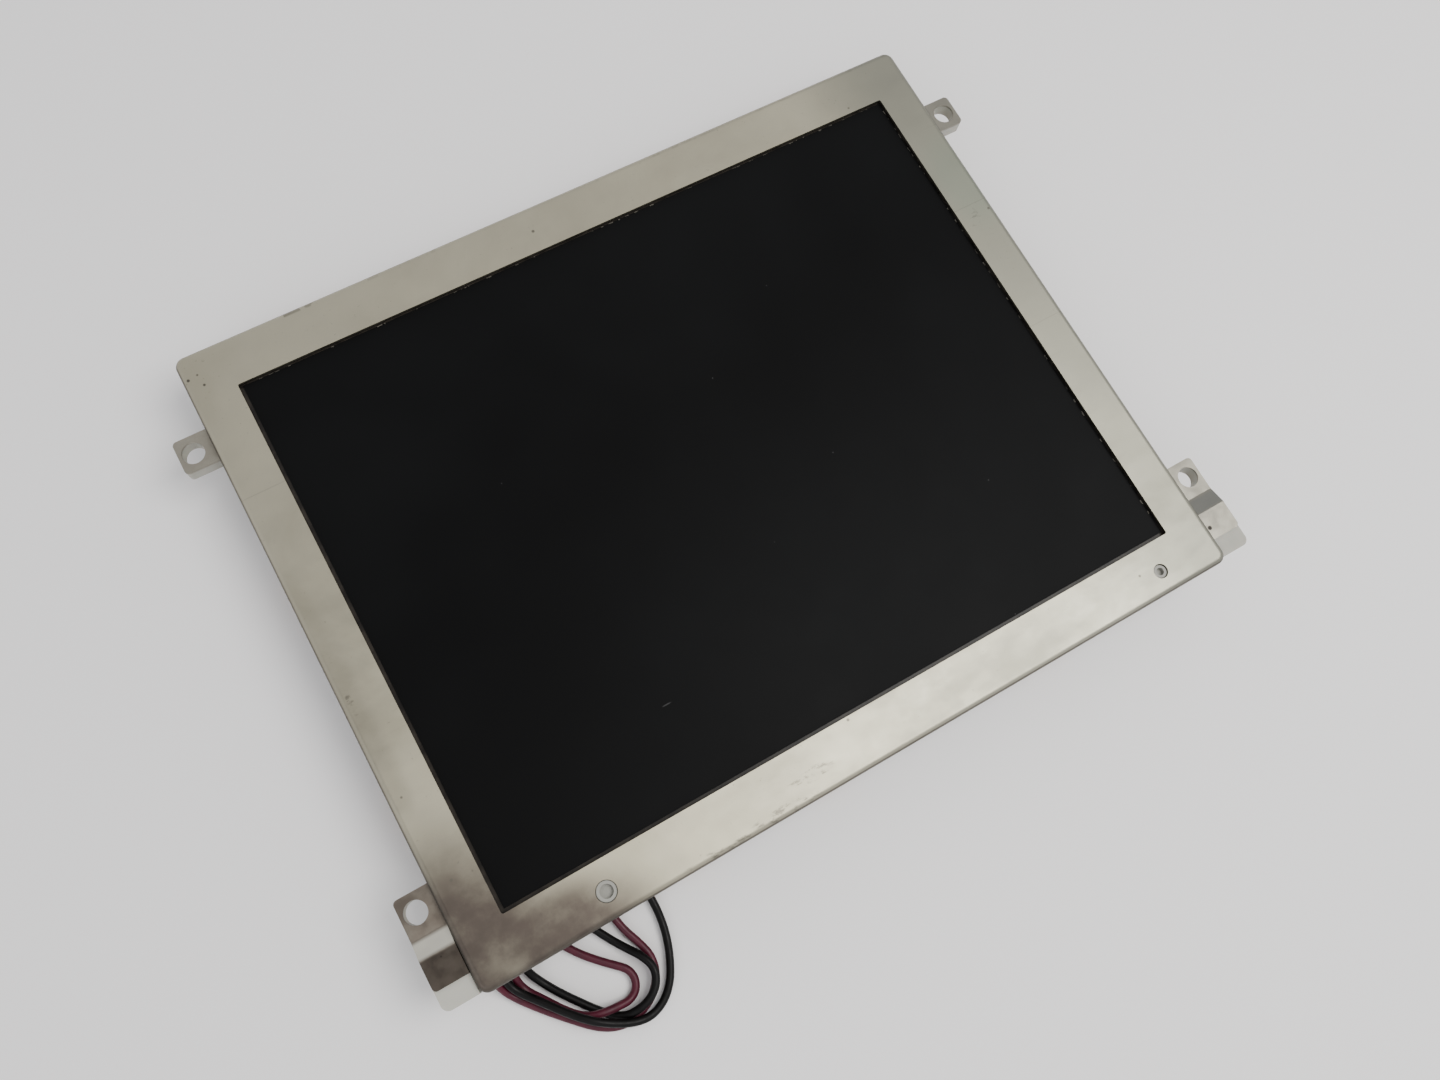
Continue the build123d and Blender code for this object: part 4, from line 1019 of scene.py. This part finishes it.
@dataclass
class RearBoards:
    """The source board, the control board and everything soldered to them."""

    end_lap_mm: float = 0.5
    skin_mm: float = 0.03
    fillet_mm: float = 0.35
    pin_rows: tuple[tuple[str, float, int], ...] = (
        ("timing_controller", 0.5, Axis.X.value), ("interface_chips", 0.65, Axis.Y.value))
    pin_mm: float = 1.1
    pin_high_mm: float = 0.27
    tail_pitch_mm: float = 1.0

    def build(self) -> None:
        """Dresses the boards and their parts."""
        Finishes.board.dress("control_board", "source_board")
        Finishes.film.dress("board_flex")
        Finishes.can.dress("shield_can")
        Finishes.chip.dress("timing_controller", "interface_chips", "board_resistors")
        Finishes.ceramic.dress("board_capacitors", "source_board_capacitors")
        Finishes.coil.dress("board_inductors")
        Finishes.socket.dress("input_connector")
        Finishes.lock.dress("connector_lock")
        Finishes.trimmer.dress("trimmer_body")
        Finishes.brass.dress("trimmer_rotor")
        Finishes.zinc.dress("board_screws")
        self._ends()
        self._pins()
        self._tails()

    def _ends(self) -> None:
        """Tinned ends and solder fillets on the small parts."""
        ends = Pieces("tinned_ends", Finishes.solder)
        lap, skin, foot = self.end_lap_mm * MM, self.skin_mm * MM, self.fillet_mm * MM
        for name in ("board_capacitors", "board_resistors", "source_board_capacitors"):
            for low, high in solids_of(name):
                cap = min(lap, (high[0] - low[0]) * 0.22)
                middle = low[2] + (high[2] - low[2]) * 0.4
                for side in (-1, 1):
                    near, far = (low[0] - skin, low[0] + cap) if side < 0 else (high[0] - cap, high[0] + skin)
                    ends.block((near, low[1] - skin, low[2] - skin), (far, high[1] + skin, high[2]))
                    near, far = (low[0] - foot, low[0]) if side < 0 else (high[0], high[0] + foot)
                    ends.block((near, low[1] - skin, middle), (far, high[1] + skin, high[2]),
                               foot * 0.8, side)
        ends.build()

    def _pins(self) -> None:
        """Soldered pins over the lead rows of the chips."""
        pins = Pieces("chip_pins", Finishes.tin)
        for name, pitch_mm, along in self.pin_rows:
            pitch = pitch_mm * MM
            across = 1 - along
            for low, high in solids_of(name):
                count = int((high[along] - low[along] - 2.4 * MM) / pitch)
                first = (low[along] + high[along] - (count - 1) * pitch) / 2
                for i in range(count):
                    middle = first + i * pitch
                    for edge, step in ((low[across], 1), (high[across], -1)):
                        reach = sorted((edge - step * self.skin_mm * MM, edge + step * self.pin_mm * MM))
                        corners = [[0.0, 0.0], [0.0, 0.0]]
                        for k in (0, 1):
                            corners[k][along] = middle + (2 * k - 1) * pitch * 0.24
                            corners[k][across] = reach[k]
                        pins.block((*corners[0], high[2] - self.pin_high_mm * MM), (*corners[1], high[2]))
        pins.build()

    def _tails(self) -> None:
        """Solder tails along the inner side of the input connector."""
        low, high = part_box("input_connector")
        board_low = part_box("control_board")[0][2]
        tails = Pieces("connector_tails", Finishes.solder)
        half = self.tail_pitch_mm * MM * 0.25
        count = int((high[0] - low[0] - 4 * MM) / (self.tail_pitch_mm * MM))
        first = (low[0] + high[0] - (count - 1) * self.tail_pitch_mm * MM) / 2
        for i in range(count):
            middle = first + i * self.tail_pitch_mm * MM
            tails.block((middle - half, high[1], board_low - 0.3 * MM),
                        (middle + half, high[1] + 0.9 * MM, board_low), 0.5 * MM, 2)
        tails.build()


@dataclass(frozen=True)
class SoftLight:
    """A round area light that faces the module."""

    name: str
    place: Place
    size: float
    energy: float
    tone: Colour

    def build(self) -> None:
        """Makes the light."""
        data = bpy.data.lights.new(self.name, "AREA")
        data.shape = "DISK"
        data.size = self.size
        data.energy = self.energy
        data.color = self.tone
        light = bpy.data.objects.new(self.name, data)
        light.location = self.place
        light.rotation_euler = (-Vector(self.place)).to_track_quat("-Z", "Y").to_euler()
        bpy.context.scene.collection.objects.link(light)


@dataclass
class Studio:
    """The camera, the pale bench top and the soft lights."""

    camera_place: Place = (-0.04365, -0.04574, 0.18573)
    camera_turn: Place = (15.611, -5.53, -29.498)
    lens_mm: float = 29.125
    floor_size: float = 3.0
    floor_level: float = -0.0003
    key: SoftLight = SoftLight("key", (0.21, -0.13, 0.52), 0.36, 2.4, (1.0, 0.985, 0.95))
    fill: SoftLight = SoftLight("fill", (-0.55, -0.35, 0.60), 0.7, 1.2, (0.95, 0.975, 1.0))
    sky_strength: float = 1.15

    def build(self) -> None:
        """Makes the camera, the floor, the lights and the sky."""
        self._camera()
        self._floor()
        self._lights()
        self._sky()

    def _camera(self) -> None:
        """The view from over the lead corner."""
        data = bpy.data.cameras.new("view")
        data.sensor_width = 36.0
        data.sensor_fit = "HORIZONTAL"
        data.lens = self.lens_mm
        data.clip_start = 0.005
        camera = bpy.data.objects.new("view", data)
        camera.location = self.camera_place
        camera.rotation_euler = Euler([math.radians(a) for a in self.camera_turn])
        bpy.context.scene.collection.objects.link(camera)
        bpy.context.scene.camera = camera

    def _floor(self) -> None:
        """The bench top that the module lies on."""
        half = self.floor_size / 2
        mesh = bpy.data.meshes.new("bench_top")
        level = self.floor_level
        corners = [(-half, -half, level), (half, -half, level), (half, half, level), (-half, half, level)]
        mesh.from_pydata(corners, [], [(0, 1, 2, 3)])
        mesh.materials.append(Finishes.floor.material())
        bench = bpy.data.objects.new("bench_top", mesh)
        bpy.context.scene.collection.objects.link(bench)

    def _lights(self) -> None:
        """A broad key from the right and a weak fill from the lead side."""
        for lamp in (self.key, self.fill):
            lamp.build()

    def _sky(self) -> None:
        """An even pale surround that is darker straight overhead, as under a person who leans over."""
        world = bpy.data.worlds.new("surround")
        bpy.context.scene.world = world
        world.use_nodes = True
        tree = world.node_tree
        back = tree.nodes["Background"]
        coords = tree.nodes.new("ShaderNodeTexCoord")
        dot = tree.nodes.new("ShaderNodeVectorMath")
        dot.operation = "DOT_PRODUCT"
        dot.inputs[1].default_value = Vector((-0.16, -0.06, 1.0)).normalized()
        tree.links.new(coords.outputs["Generated"], dot.inputs[0])
        ramp = tree.nodes.new("ShaderNodeValToRGB")
        ramp.color_ramp.elements[0].position = 0.0
        ramp.color_ramp.elements[0].color = (0.62, 0.63, 0.65, 1)
        ramp.color_ramp.elements[1].position = 1.0
        ramp.color_ramp.elements[1].color = (0.12, 0.12, 0.13, 1)
        for position, level in ((0.75, 0.72), (0.93, 0.60), (0.985, 0.22)):
            element = ramp.color_ramp.elements.new(position)
            element.color = (level, level, level * 1.01, 1)
        tree.links.new(dot.outputs["Value"], ramp.inputs[0])
        tree.links.new(ramp.outputs[0], back.inputs[0])
        back.inputs[1].default_value = self.sky_strength


def main() -> None:
    """Builds the module's looks and the studio, in order."""
    logging.basicConfig(level=logging.INFO, format="%(name)s %(message)s")
    for part in (Studio(), LampLeads(), FrontShell(), PanelStack(), BacklightTray(), RearBoards()):
        LOG.info("building %s", type(part).__name__)
        part.build()


if __name__ == "__main__":
    main()
